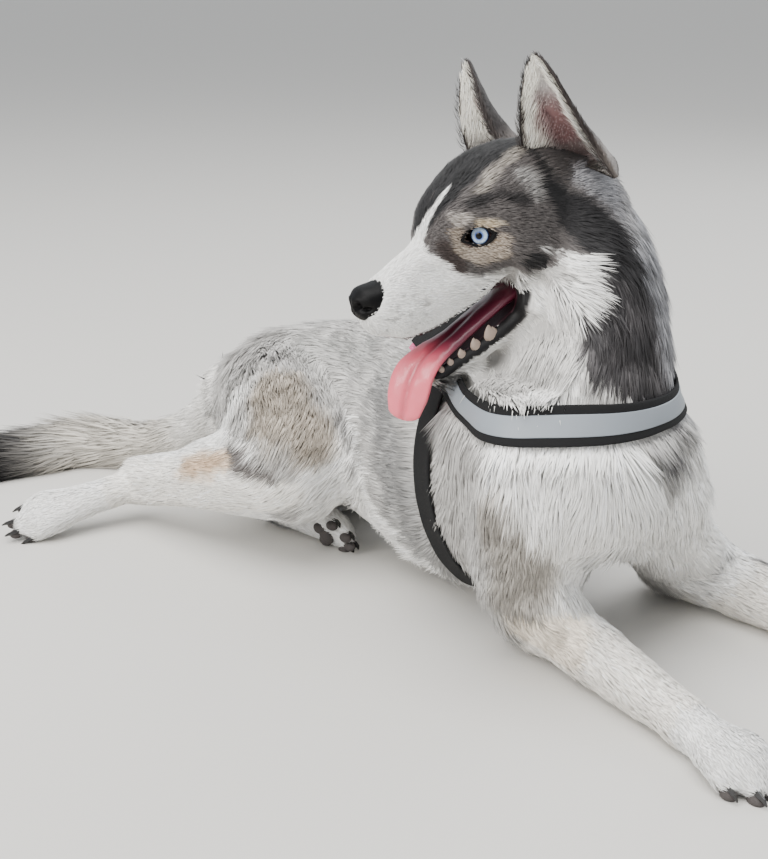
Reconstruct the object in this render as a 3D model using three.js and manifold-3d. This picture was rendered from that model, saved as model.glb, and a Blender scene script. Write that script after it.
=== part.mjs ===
// A life-size Siberian husky lying on the ground with its head turned, wearing a chest harness.
// Millimetres, +Z up. X runs from the tail to the forepaws and -Y is the side that the belly faces.
// Each animal part is a closed loft; the parts are fused, then divided by thin cuts.
import * as THREE from "three";
import { mergeVertices } from "three/addons/utils/BufferGeometryUtils.js";
import Module from "manifold-3d";

const wasm = await Module();
wasm.setup();

const GAP = 0.35; // clear space between two neighbouring pieces

// Driving sizes

const HEAD_SCALE = 0.9; // this dog's head against a grown male's
const JAW_OPEN = 22; // degrees that the lower jaw is dropped
const BODY_BLEND = 9; // softness of the fillets where the limbs leave the trunk
const PAW_BLEND = 2.2; // softness of the fillets between the toes
const FLOOR_LEVEL = 6; // height in the working frame where the coat is flattened by the ground
const WEB_THICK = 3.5; // webbing of the harness
const WEB_SINK = 2.5; // how far the harness presses into the coat

const V = (a) => new THREE.Vector3(...a);

// Turning three.js geometry into solids and back

function solidOf(geometry) {
  const bare = new THREE.BufferGeometry().setAttribute(
    "position",
    (geometry.index ? geometry.toNonIndexed() : geometry).getAttribute("position"),
  );
  const merged = mergeVertices(bare, 1e-3);
  return new wasm.Manifold(
    new wasm.Mesh({
      numProp: 3,
      vertProperties: merged.attributes.position.array,
      triVerts: new Uint32Array(merged.index.array),
    }),
  );
}

function geometryOf(solid) {
  const m = solid.getMesh();
  const points = new Float32Array(m.numVert * 3);
  for (let i = 0; i < m.numVert; i++)
    points.set(m.vertProperties.subarray(i * m.numProp, i * m.numProp + 3), i * 3);
  return new THREE.BufferGeometry()
    .setAttribute("position", new THREE.BufferAttribute(points, 3))
    .setIndex(new THREE.BufferAttribute(m.triVerts, 1));
}

const union = (solids) => solids.reduce((a, b) => a.add(b));
const minus = (solid, ...others) => others.reduce((a, b) => a.subtract(b), solid);

// A solid cut back from its neighbours, with the clear space between.
const cleared = (solid, ...others) => minus(solid, ...others, ...others.map((o) => swell(o)));

// The largest closed surface of a solid, which drops sealed hollows and scraps.
function largest(solid) {
  const bodies = solid.decompose();
  return bodies.reduce((a, b) => (b.volume() > a.volume() ? b : a));
}

// Lofts

// Catmull-Rom value of a list of numbers at place s, counted in list steps.
function along(list, s) {
  const i = Math.min(Math.floor(s), list.length - 2);
  const f = s - i;
  const at = (k) => list[Math.max(0, Math.min(list.length - 1, k))];
  const [a, b, c, d] = [at(i - 1), at(i), at(i + 1), at(i + 2)];
  return (
    b + 0.5 * f * (c - a + f * (2 * a - 5 * b + 4 * c - d + f * (3 * (b - c) + d - a)))
  );
}

// The smooth line through the sections, and on it the section at place s: its centre, its directions and
// its half sizes. Each section is [x, y, z, half width, half height, roll in degrees]. Width runs along
// tangent x up, and height along up.
function spineOf(sections, up = [0, 0, 1]) {
  const curve = new THREE.CatmullRomCurve3(sections.map((s) => V(s.slice(0, 3))), false, "centripetal");
  const last = sections.length - 1;
  const [widths, heights, rolls] = [3, 4, 5].map((k) => sections.map((s) => s[k] || 0));
  const at = (s) => {
    const centre = curve.getPoint(s / last);
    const tangent = curve.getTangent(s / last);
    const level = tangent.clone().cross(V(up)).normalize();
    const upright = level.clone().cross(tangent).normalize();
    const roll = THREE.MathUtils.degToRad(along(rolls, s));
    const side = level.clone().multiplyScalar(Math.cos(roll)).addScaledVector(upright, -Math.sin(roll));
    const top = upright.clone().multiplyScalar(Math.cos(roll)).addScaledVector(level, Math.sin(roll));
    return { centre, tangent, side, top, w: along(widths, s), h: along(heights, s) };
  };
  return { at, last };
}

// A closed skin round the sections. The ends are rounded by cap times the end size.
function loft(sections, options = {}) {
  const { around = 12, steps = 2, up, cap = 0.7, grow = 0, shape = null, capRings = [1.1, 0.55] } = options;
  const caps = Array.isArray(cap) ? cap : [cap, cap];
  const spine = spineOf(sections, up);
  const { last } = spine;
  const rings = [];
  const ring = (s, push, shrink) => {
    const { centre, tangent, side, top, w, h } = spine.at(s);
    centre.addScaledVector(tangent, push);
    rings.push(
      Array.from({ length: around }, (_, k) => {
        const a = (k / around) * 2 * Math.PI;
        const r = shrink * (shape ? shape(s / last, a) : 1);
        return centre
          .clone()
          .addScaledVector(side, (w + grow) * r * Math.cos(a))
          .addScaledVector(top, (h + grow) * r * Math.sin(a));
      }),
    );
  };
  const [start, end] = [spine.at(0), spine.at(last)];
  const reach = (end, k) => ((end.w + end.h) / 2 + grow) * caps[k];
  capRings.forEach((a) => ring(0, -reach(start, 0) * Math.sin(a), Math.cos(a)));
  for (let i = 0; i <= last * steps; i++) ring(i / steps, 0, 1);
  [...capRings].reverse().forEach((a) => ring(last, reach(end, 1) * Math.sin(a), Math.cos(a)));
  return skin(
    rings,
    start.centre.addScaledVector(start.tangent, -reach(start, 0)),
    end.centre.addScaledVector(end.tangent, reach(end, 1)),
  );
}

// Joins rings of points into one closed surface with a pole at each end.
function skin(rings, start, end) {
  const around = rings[0].length;
  const points = [start, ...rings.flat(), end];
  const faces = [];
  const at = (i, k) => 1 + i * around + (k % around);
  for (let k = 0; k < around; k++) {
    faces.push(0, at(0, k), at(0, k + 1));
    faces.push(points.length - 1, at(rings.length - 1, k + 1), at(rings.length - 1, k));
    for (let i = 0; i + 1 < rings.length; i++)
      faces.push(at(i, k), at(i + 1, k), at(i, k + 1), at(i + 1, k), at(i + 1, k + 1), at(i, k + 1));
  }
  const geometry = new THREE.BufferGeometry().setFromPoints(points).setIndex(faces);
  const solid = solidOf(geometry);
  if (solid.volume() > 0) return solid;
  for (let i = 0; i < faces.length; i += 3) [faces[i + 1], faces[i + 2]] = [faces[i + 2], faces[i + 1]];
  return solidOf(geometry.setIndex(faces));
}

const ball = (centre, radii, around = 14, levels = 10) =>
  solidOf(new THREE.SphereGeometry(1, around, levels).scale(...radii).translate(...centre));

// The same solid with every point moved outwards by a small distance.
function swell(solid, distance = GAP) {
  const g = geometryOf(solid);
  g.computeVertexNormals();
  const p = g.attributes.position;
  const n = g.attributes.normal;
  for (let i = 0; i < p.count; i++) {
    const q = new THREE.Vector3().fromBufferAttribute(p, i);
    q.addScaledVector(new THREE.Vector3().fromBufferAttribute(n, i), distance);
    p.setXYZ(i, q.x, q.y, q.z);
  }
  return solidOf(g);
}

// Signed distance from a loft's skin, close to true near the skin: the point is set against the section
// at the nearest place on the spine, and past an end against the rounded cap.
function fieldOf(sections, options = {}) {
  const { up, cap = 0.7 } = options;
  const caps = Array.isArray(cap) ? cap : [cap, cap];
  const spine = spineOf(sections, up);
  const count = spine.last * 8;
  const places = Array.from({ length: count + 1 }, (_, i) => spine.at((i / count) * spine.last));
  const delta = new THREE.Vector3();
  return (p) => {
    let best = 0;
    let nearest = Infinity;
    places.forEach((q, i) => {
      const d = q.centre.distanceToSquared(p);
      if (d < nearest) {
        nearest = d;
        best = i;
      }
    });
    const q = places[best];
    delta.copy(p).sub(q.centre);
    const a = delta.dot(q.tangent);
    const u = delta.dot(q.side);
    const v = delta.dot(q.top);
    const past = (best === 0 && a < 0) || (best === count && a > 0);
    const reach = ((q.w + q.h) / 2) * caps[best === 0 ? 0 : 1];
    const e = Math.max(1e-3, Math.hypot(u / q.w, v / q.h, past ? a / reach : 0));
    return Math.hypot(u, v, past ? a : 0) * (1 - 1 / e);
  };
}

const form = (sections, options = {}) => ({
  solid: loft(sections, options),
  distance: fieldOf(sections, options),
});

// One distance for several forms, with a soft fillet of size k where two of them meet.
const blendOf = (forms, k) => (p) => {
  const sum = forms.reduce((total, f) => total + Math.exp(-f.distance(p) / k), 0);
  return -k * Math.log(sum);
};

function slopeOf(distance, p) {
  const step = 0.5;
  const here = distance(p);
  const slope = ["x", "y", "z"].map((axis) => {
    const q = p.clone();
    q[axis] += step;
    return (distance(q) - here) / step;
  });
  return { here, slope: V(slope) };
}

// Merges the two ends of each edge shorter than a length, where the surface stays closed around it.
function withoutShortEdges(geometry, shortest) {
  const points = Array.from({ length: geometry.attributes.position.count }, (_, i) =>
    new THREE.Vector3().fromBufferAttribute(geometry.attributes.position, i),
  );
  let faces = [];
  for (let i = 0; i < geometry.index.count; i += 3)
    faces.push([0, 1, 2].map((k) => geometry.index.getX(i + k)));
  for (let pass = 0; pass < 12; pass++) {
    const near = points.map(() => new Set());
    faces.forEach((f) => f.forEach((a, k) => near[a].add(f[(k + 1) % 3]).add(f[(k + 2) % 3])));
    const edges = faces.flatMap((f) => f.map((a, k) => [a, f[(k + 1) % 3]])).filter(([a, b]) => a < b);
    const short = edges
      .map(([a, b]) => [a, b, points[a].distanceTo(points[b])])
      .filter((e) => e[2] < shortest)
      .sort((a, b) => a[2] - b[2]);
    const touched = new Set();
    const goesTo = new Map();
    short.forEach(([a, b]) => {
      const ring = [...near[a], ...near[b]];
      if (ring.some((v) => touched.has(v))) return;
      if ([...near[a]].filter((v) => near[b].has(v)).length !== 2) return;
      points[a].lerp(points[b], 0.5);
      goesTo.set(b, a);
      ring.forEach((v) => touched.add(v));
    });
    if (!goesTo.size) break;
    faces = faces
      .map((f) => f.map((v) => goesTo.get(v) ?? v))
      .filter(([a, b, c]) => a !== b && b !== c && c !== a);
  }
  const used = [...new Set(faces.flat())];
  const order = new Map(used.map((v, i) => [v, i]));
  const merged = new THREE.BufferGeometry().setFromPoints(used.map((v) => points[v]));
  return merged.setIndex(faces.flat().map((v) => order.get(v)));
}

// Fuses the forms and draws every point onto their blended skin, easing the spacing near the joins.
function fuse(forms, k, shortest, rounds = 4) {
  const distance = blendOf(forms, k);
  const g = withoutShortEdges(geometryOf(union(forms.map((f) => f.solid))), shortest);
  const p = g.attributes.position;
  const index = g.index.array;
  const near = Array.from({ length: p.count }, () => new Set());
  for (let i = 0; i < index.length; i += 3)
    for (let e = 0; e < 3; e++) {
      near[index[i + e]].add(index[i + ((e + 1) % 3)]);
      near[index[i + e]].add(index[i + ((e + 2) % 3)]);
    }
  let points = Array.from({ length: p.count }, (_, i) => new THREE.Vector3().fromBufferAttribute(p, i));
  const joined = points.map((q) => {
    const ds = forms.map((f) => f.distance(q)).sort((a, b) => a - b);
    return ds.length > 1 && ds[1] < 3 * k;
  });
  for (let round = 0; round < rounds; round++) {
    points = points.map((q, i) => {
      const r = q.clone();
      if (joined[i]) {
        const mean = new THREE.Vector3();
        near[i].forEach((j) => mean.add(points[j]));
        r.lerp(mean.divideScalar(near[i].size), 0.5);
      }
      const { here, slope } = slopeOf(distance, r);
      return r.addScaledVector(slope, -here / Math.max(0.3, slope.lengthSq()));
    });
  }
  points.forEach((q, i) => p.setXYZ(i, q.x, q.y, q.z));
  return { solid: largest(solidOf(g)), distance };
}

// Trunk, neck and tail

const TORSO = [
  [160, -218, 172, 52, 44, 0],
  [150, -186, 168, 76, 72, 0],
  [122, -110, 156, 86, 106, 0],
  [82, -20, 136, 88, 124, 4],
  [42, 60, 130, 86, 112, 14],
  [-10, 125, 130, 74, 90, 26],
  [-65, 180, 122, 72, 80, 40],
  [-125, 225, 108, 62, 68, 45],
  [-160, 252, 98, 42, 44, 45],
];
const NECK = [
  [150, -150, 165, 78, 80],
  [148, -140, 215, 82, 80],
  [160, -124, 270, 64, 70],
  [158, -106, 325, 51, 56],
  [144, -98, 366, 44, 42],
];
const NECK_LIE = { around: 14, up: [-0.3, 0.95, 0], cap: [0.5, 0.8] };
const TAIL = [
  [-160, 252, 96, 34, 34],
  [-205, 278, 66, 28, 30],
  [-255, 305, 42, 27, 30],
  [-317, 322, 34, 28, 31],
  [-380, 300, 31, 27, 29],
  [-430, 270, 27, 22, 24],
  [-470, 246, 22, 12, 16],
];

// The tail's brush: a core of about half the brush's size, and flat locks that leave it towards the tip.
const TAIL_CORE = [0.86, 0.66, 0.56, 0.54, 0.54, 0.54, 0.6];
const TAIL_SINK = [0, 4, 7, 7, 7, 5, 3]; // how far the core lies under the brush's middle
const LOCK_ROWS = 6;
const LOCKS_AROUND = 5;
const LOCK_LENGTH = 66;
const LOCK_WIDTH = 13;
const LOCK_THICK = 4.5;
const coreOf = (sections) =>
  sections.map(([x, y, z, w, h], i) => [x, y, z - TAIL_SINK[i], w * TAIL_CORE[i], h * TAIL_CORE[i]]);

// Repeatable scatter from 0 to 1
function seeded(seed) {
  let state = seed;
  return () => {
    state = (state + 0x6d2b79f5) | 0;
    let t = Math.imul(state ^ (state >>> 15), 1 | state);
    t = (t + Math.imul(t ^ (t >>> 7), 61 | t)) ^ t;
    return ((t ^ (t >>> 14)) >>> 0) / 4294967296;
  };
}

function tailLocks() {
  const random = seeded(7);
  const brush = spineOf(TAIL);
  const core = spineOf(coreOf(TAIL));
  const locks = [];
  for (let row = 0; row < LOCK_ROWS; row++)
    for (let k = 0; k < LOCKS_AROUND; k++) {
      const s = 0.75 + (row / (LOCK_ROWS - 1)) * (brush.last - 0.95) + 0.1 * random();
      const a = ((k + 0.5 * (row % 2) + 0.25 * (random() - 0.5)) / LOCKS_AROUND) * 2 * Math.PI;
      const [inner, outer] = [core.at(s), brush.at(s)];
      const way = inner.side.clone().multiplyScalar(Math.cos(a)).addScaledVector(inner.top, Math.sin(a));
      const rim = (q, share) =>
        q.centre
          .clone()
          .addScaledVector(q.side, q.w * share * Math.cos(a))
          .addScaledVector(q.top, q.h * share * Math.sin(a));
      const long = LOCK_LENGTH * (0.85 + 0.3 * random());
      const points = [
        rim(inner, 0.7),
        rim(inner, 1.02).addScaledVector(outer.tangent, long * 0.22),
        rim(outer, 0.86).addScaledVector(outer.tangent, long * 0.6),
        rim(outer, 0.96).addScaledVector(outer.tangent, long),
      ];
      const wide = [0.8, 1, 0.8, 0.22];
      const sections = points.map((q, i) => [q.x, q.y, q.z, LOCK_WIDTH * wide[i], LOCK_THICK * wide[i]]);
      locks.push(loft(sections, { around: 4, steps: 1, up: way.toArray(), cap: [0.4, 1.2], capRings: [] }));
    }
  return union(locks);
}

// Legs: each part runs down the limb, and the last two numbers of a section are its half sizes.
const LEGS = {
  right_foreleg: {
    upper: [
      [108, -190, 190, 34, 40], [106, -212, 160, 37, 44],
      [106, -182, 95, 33, 42], [122, -146, 42, 28, 34],
    ],
    upperUp: [0.8, 0.6, 0],
    lower: [
      [122, -140, 40, 26, 34], [140, -182, 38, 25, 31],
      [174, -238, 31, 23, 26], [212, -305, 25, 20, 21],
    ],
    wrist: [212, -305, 25],
    toes: [253, -383],
    front: true,
  },
  left_foreleg: {
    upper: [
      [204, -160, 186, 34, 40], [214, -166, 152, 38, 44],
      [232, -110, 92, 34, 42], [256, -40, 42, 28, 34],
    ],
    upperUp: [0.8, 0.6, 0],
    lower: [
      [256, -34, 40, 26, 34], [280, -68, 38, 25, 33],
      [323, -112, 32, 24, 29], [362, -174, 25, 20, 21],
    ],
    wrist: [362, -174, 25],
    toes: [407, -246],
    front: true,
  },
  right_hindleg: {
    upper: [
      [-108, 190, 128, 50, 56], [-100, 130, 124, 58, 68],
      [-88, 70, 116, 54, 64], [-76, 22, 100, 42, 48],
    ],
    upperUp: [0, 0, 1],
    lower: [
      [-70, 24, 100, 42, 46], [-120, 50, 86, 38, 42],
      [-190, 100, 64, 27, 32], [-245, 140, 48, 21, 27],
    ],
    wrist: [-245, 140, 46],
    toes: [-356, 84],
    front: false,
    roll: -42,
    high: 21,
  },
  left_hindleg: {
    upper: [
      [-85, 225, 72, 55, 50], [-20, 220, 60, 50, 46],
      [45, 205, 50, 36, 38],
    ],
    upperUp: [0, 0, 1],
    lower: [
      [48, 206, 46, 34, 34], [-10, 182, 40, 32, 30],
      [-70, 152, 30, 24, 25], [-108, 134, 26, 20, 22],
    ],
    wrist: [-111, 131, 26],
    toes: [-30, 48],
    front: false,
    roll: -62,
    high: 23,
  },
};

// A paw lies along the line from the wrist or hock to the toes. The two middle toes reach furthest.
const TOE_SPREAD = 12.5;
const TOE_REACH = [-13, 0, 0, -13];
const TOE_RADIUS = 10;
const CLAW_LENGTH = 13;

function pawOf({ wrist, toes, front, roll = 0, high = 14 }) {
  const from = V(wrist);
  const to = V([...toes, high]);
  const ahead = to.clone().sub(from).setZ(0).normalize();
  const angle = THREE.MathUtils.degToRad(roll);
  const across = V([-ahead.y, ahead.x, 0]);
  const side = across.clone().multiplyScalar(Math.cos(angle)).add(V([0, 0, Math.sin(angle)]));
  const top = ahead.clone().cross(side);
  const length = Math.hypot(to.x - from.x, to.y - from.y);
  // a place by its reach along the paw, its offset to the side and its height over the toes' middle
  const put = (reach, off, over) => {
    const t = THREE.MathUtils.clamp(reach / length, 0, 1);
    const q = from.clone().addScaledVector(ahead, reach).setZ(from.z + (high - from.z) * t);
    return q.addScaledVector(side, off).addScaledVector(top, over);
  };
  const sec = (q, w, h) => [q.x, q.y, q.z, w, h];
  const thin = front ? 1 : 0.88;
  const lie = { up: top.toArray(), steps: 1 };
  const palm = form(
    [
      sec(put(-4, 0, 0), 21 * thin, 21 * thin),
      sec(put(length * 0.3, 0, 1), 20 * thin, 18 * thin),
      sec(put(length * 0.6, 0, 3), 23 * thin, 17 * thin),
      sec(put(length - 26, 0, 3), 25 * thin, 15 * thin),
    ],
    { ...lie, around: 10, cap: [0.5, 0.5] },
  );
  const forms = [palm];
  const claws = [];
  TOE_REACH.forEach((short, i) => {
    const off = (i - 1.5) * TOE_SPREAD * thin;
    const reach = length + short;
    const r = TOE_RADIUS * thin;
    forms.push(
      form(
        [
          sec(put(reach - 34, off * 0.85, 4), r, r * 1.05),
          sec(put(reach - 19, off, 7), r * 1.05, r * 1.15),
          sec(put(reach - 6, off * 1.06, -2), r * 0.92, r * 0.98),
        ],
        { ...lie, around: 6, cap: [0.6, 0.85] },
      ),
    );
    const claw = (grow) =>
      loft(
        [
          sec(put(reach - 6, off * 1.06, 0), 2.6, 3.2),
          sec(put(reach + 1, off * 1.08, -1), 2.5, 3),
          sec(put(reach + CLAW_LENGTH * 0.55, off * 1.1, -2.5), 1.6, 1.9),
          sec(put(reach + CLAW_LENGTH * 0.8, off * 1.1, -5), 0.7, 0.8),
        ],
        { ...lie, around: 5, cap: [0.4, 0.8], capRings: [], grow },
      );
    claws.push({ solid: claw(0), room: claw(2 * GAP) });
  });
  return { ...fuse(forms, PAW_BLEND, 5, 3), claws };
}

// Head, in its own frame: x to the nose, y to the dog's left, z up

const HEAD_AT = [87, -110, 342];
const HEAD_FORWARD = V([-0.884, -0.432, -0.179]).normalize();
const HEAD_LEFT = V([0, 0, 1]).cross(HEAD_FORWARD).normalize();
const HEAD_UP = HEAD_FORWARD.clone().cross(HEAD_LEFT);
const HEAD_FRAME = new THREE.Matrix4()
  .makeBasis(HEAD_FORWARD, HEAD_LEFT, HEAD_UP)
  .scale(V([HEAD_SCALE, HEAD_SCALE, HEAD_SCALE]))
  .setPosition(...HEAD_AT);
const toWorld = (solid) => solid.transform(HEAD_FRAME.elements);
const HEAD_GAP = GAP / HEAD_SCALE;

// Skull and upper jaw: place along x, top, bottom, half width.
const SKULL = [
  [-86, 40, -34, 34],
  [-64, 61, -46, 47],
  [-38, 72, -52, 56],
  [-12, 74, -54, 58],
  [10, 68, -52, 55],
  [26, 55, -49, 47],
  [39, 37, -54, 38.5],
  [51, 20, -60, 32],
  [64, 10, -65, 28.5],
  [82, 2, -70, 27],
  [100, -6, -71, 26],
  [118, -15, -68, 23.5],
  [131, -31, -60, 17],
];

// Swells and hollows of the head: place, reach and push, each made on both sides.
const HEAD_FEATURES = [
  { at: [42, 31, 9], reach: [15, 13, 12], push: [-2, -8, 0] }, // eye socket
  { at: [34, 24, 27], reach: [12, 14, 9], push: [2, 2, 2] }, // brow
  { at: [56, 10, 6], reach: [14, 16, 16], push: [-2, 0, -3] }, // stop
  { at: [12, 46, -10], reach: [26, 16, 12], push: [0, 5, 0] }, // cheekbone
  { at: [-30, 52, -30], reach: [30, 18, 24], push: [0, 5, -3] }, // jaw muscle
  { at: [104, 21, -42], reach: [20, 10, 13], push: [0, 4, 0] }, // whisker pad
  { at: [74, 24, -14], reach: [22, 10, 10], push: [0, -4, 0] }, // hollow beside the bridge
  { at: [20, 0, 56], reach: [26, 5, 12], push: [0, 0, -2.5] }, // furrow of the forehead
];

function sculpt(solid, features) {
  const g = geometryOf(solid);
  const p = g.attributes.position;
  const sides = features.flatMap((f) => [1, -1].map((s) => ({ ...f, s, weight: f.at[1] ? 1 : 0.5 })));
  for (let i = 0; i < p.count; i++) {
    const q = new THREE.Vector3().fromBufferAttribute(p, i);
    const move = new THREE.Vector3();
    sides.forEach(({ at, reach, push, s, weight }) => {
      const away = q.clone().sub(V([at[0], s * at[1], at[2]]));
      const e = away.divide(V(reach)).length();
      move.addScaledVector(V([push[0], s * push[1], push[2]]), weight * Math.exp(-e * e));
    });
    q.add(move);
    p.setXYZ(i, q.x, q.y, q.z);
  }
  return solidOf(g);
}

const boxy = (n) => (t, a) => Math.pow(Math.abs(Math.cos(a)) ** n + Math.abs(Math.sin(a)) ** n, -1 / n);
const both = (make) => [make(1), make(-1)];

// Eyes: a ball in a socket, and lids that are a thicker ball opened by an almond cut.
const EYE_AT = [29, 28, 8.6];
const EYE_RADIUS = 12;
const LID = 1.6;
const GAZE = [0.66, 0.74, 0.12];
const ALMOND = [13, 8]; // half length and half height of the opening between the lids
const sideOf = (a, s) => [a[0], s * a[1], a[2]];
const eyeBall = (s, more = 0) => ball(sideOf(EYE_AT, s), Array(3).fill(EYE_RADIUS + more), 12, 8);

function almond(s) {
  const [a, b] = ALMOND;
  const outline = new THREE.Shape();
  outline.moveTo(-a, -1.5);
  outline.quadraticCurveTo(-a * 0.2, b * 2.1, a, 1);
  outline.quadraticCurveTo(a * 0.3, -b * 1.9, -a, -1.5);
  const g = new THREE.ExtrudeGeometry(outline, { depth: 40, bevelEnabled: false, curveSegments: 8 });
  const gaze = V(sideOf(GAZE, s)).normalize();
  const across = V([0, 0, 1]).cross(gaze).normalize();
  if (s < 0) g.scale(-1, 1, 1);
  const turn = new THREE.Matrix4().makeBasis(across, gaze.clone().cross(across), gaze);
  g.applyMatrix4(turn.setPosition(...sideOf(EYE_AT, s)));
  if (s < 0) {
    const flat = g.index ? g.toNonIndexed() : g;
    const q = flat.attributes.position.array;
    for (let i = 0; i < q.length; i += 9)
      for (let k = 0; k < 3; k++) [q[i + 3 + k], q[i + 6 + k]] = [q[i + 6 + k], q[i + 3 + k]];
    return solidOf(flat);
  }
  return solidOf(g);
}

// Teeth: a row of cones. Each is [x, y, height, half length, half width], made on both sides.
const UPPER_TEETH = [
  [123, 3, 6, 2.4, 2], [121.5, 8, 7, 2.6, 2.2], [112, 14.5, 17, 4.2, 3.4], [98, 17, 6, 3.6, 2.6],
  [86, 17.5, 7, 4.6, 2.8], [72, 18.5, 7, 5.6, 3], [56, 20.5, 9, 7.6, 3.6], [40, 23.5, 5, 5, 4.4],
];
const LOWER_TEETH = [
  [118, 2.6, 4.5, 2.2, 1.8], [117, 7, 5, 2.4, 2], [110, 11.5, 13, 3.8, 3.2], [98, 13, 4, 2.8, 2.2],
  [88, 14, 5, 3.6, 2.4], [76, 15.5, 6, 4.4, 2.6], [62, 18, 8, 5.2, 3], [46, 20.5, 10, 7.2, 3.6],
];

function tooth([x, y, height, long, wide], root, rise) {
  const g = new THREE.ConeGeometry(1, 1, 4).translate(0, 0.5, 0).rotateX(Math.PI / 2);
  g.scale(long, wide, height + root).translate(0, 0, -root);
  if (rise < 0) g.rotateX(Math.PI);
  return solidOf(g.translate(x, y, 0));
}

// The line of the lips: height of the mouth roof's edge at place x of the upper jaw.
const LIP_HEIGHTS = [-46, -47, -52, -56, -57, -56, -52]; // from x = 10 on, one each 20
const lipLine = (x) => along(LIP_HEIGHTS, THREE.MathUtils.clamp((x - 10) / 20, 0, 6));

function makeHead() {
  const shell = sculpt(
    loft(
      SKULL.map(([x, top, bottom, w]) => [x, 0, (top + bottom) / 2, w, (top - bottom) / 2]),
      { around: 24, steps: 2, cap: [0.5, 0.45], shape: (t, a) => boxy(2.1 + t)(t, a) },
    ),
    HEAD_FEATURES,
  );
  const cheeks = both((s) =>
    loft(
      [[-40, s * 30, -26, 22, 26], [-22, s * 30, -48, 20, 24], [-8, s * 28, -66, 14, 18]],
      { around: 14, up: [0, 1, 0] },
    ),
  );
  const roof = loft(
    [
      [0, 0, -56, 22, 12], [40, 0, -60, 24, 14], [70, 0, -66, 20, 16],
      [98, 0, -68, 17, 17], [114, 0, -66, 13, 14],
    ],
    { around: 14, steps: 1, cap: [0.4, 0.35] },
  );
  let head = minus(union([shell, ...cheeks]), roof);
  const teeth = UPPER_TEETH.flatMap((t) =>
    both((s) => tooth([t[0], s * t[1], ...t.slice(2)], 8, -1).translate([0, 0, lipLine(t[0]) + 7])),
  );
  head = union([head, ...teeth, ...both((s) => eyeBall(s, LID))]);
  return minus(head, ...both(almond), ...both((s) => eyeBall(s, HEAD_GAP)));
}

const JAW_PIVOT = [-25, 0, -30];
const JAW_TURN = new THREE.Matrix4()
  .makeTranslation(...JAW_PIVOT)
  .multiply(new THREE.Matrix4().makeRotationY(THREE.MathUtils.degToRad(JAW_OPEN)))
  .multiply(new THREE.Matrix4().makeTranslation(...JAW_PIVOT.map((x) => -x)));
const dropped = (solid) => solid.transform(JAW_TURN.elements);

// The lower jaw is made shut, with its teeth, and then dropped about the joint before the ear.
function makeJaw() {
  const shell = loft(
    [
      [-34, 0, -52, 38, 26], [-4, 0, -60, 34, 20], [28, 0, -66, 29, 15],
      [68, 0, -67, 22, 13], [100, 0, -65, 17, 11.5],
    ],
    { around: 14, steps: 2, cap: [0.4, 1.1], shape: boxy(2.3) },
  );
  const trough = loft(
    [[-20, 0, -42, 24, 10], [20, 0, -50, 21, 10], [60, 0, -54, 15, 9], [96, 0, -54, 10, 7]],
    { around: 10, steps: 1, cap: [0.4, 0.5] },
  );
  const teeth = LOWER_TEETH.flatMap((t) =>
    both((s) => tooth([t[0], s * t[1], ...t.slice(2)], 8, 1).translate([0, 0, -57])),
  );
  return dropped(union([minus(shell, trough), ...teeth]));
}

// Towards the tip the tongue is broader, grooved along its top and rolled to the left.
const TONGUE_GROOVE = 0.16;
function makeTongue(grow = 0) {
  const shape = (t, a) => 1 - TONGUE_GROOVE * t * Math.exp(-(((a - Math.PI / 2) / 0.5) ** 2));
  return dropped(
    loft(
      [
        [-12, 0, -46, 16, 6.5, 0],
        [30, 0, -46, 15.5, 6.5, 0],
        [70, 1, -47, 14.5, 6, -8],
        [98, 2, -46, 17, 5, -20],
        [118, 1, -52, 19.5, 4.6, -32],
        [132, 1, -63, 19, 4.2, -38],
        [142, 1, -73, 15.5, 3.8, -40],
      ],
      { around: 12, steps: 2, cap: [0.6, 0.9], grow, shape },
    ),
  );
}

const NOSE_PAD = [
  [110, 0, -22, 15, 10],
  [121, 0, -26, 18.5, 12.5],
  [132, 0, -29, 17.5, 14.5],
  [139, 0, -31, 13, 12],
];
const nosePad = (grow = 0) =>
  loft(NOSE_PAD, { around: 12, steps: 2, cap: [0.3, 0.5], grow, shape: boxy(2.3) });

function makeNose() {
  const nostrils = both((s) => ball([142, s * 7.5, -27], [8, 3.6, 3.2], 8, 5));
  const slits = both((s) => ball([136, s * 15, -29], [7, 3.6, 1.7], 6, 4));
  return minus(nosePad(), ...nostrils, ...slits);
}

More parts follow.
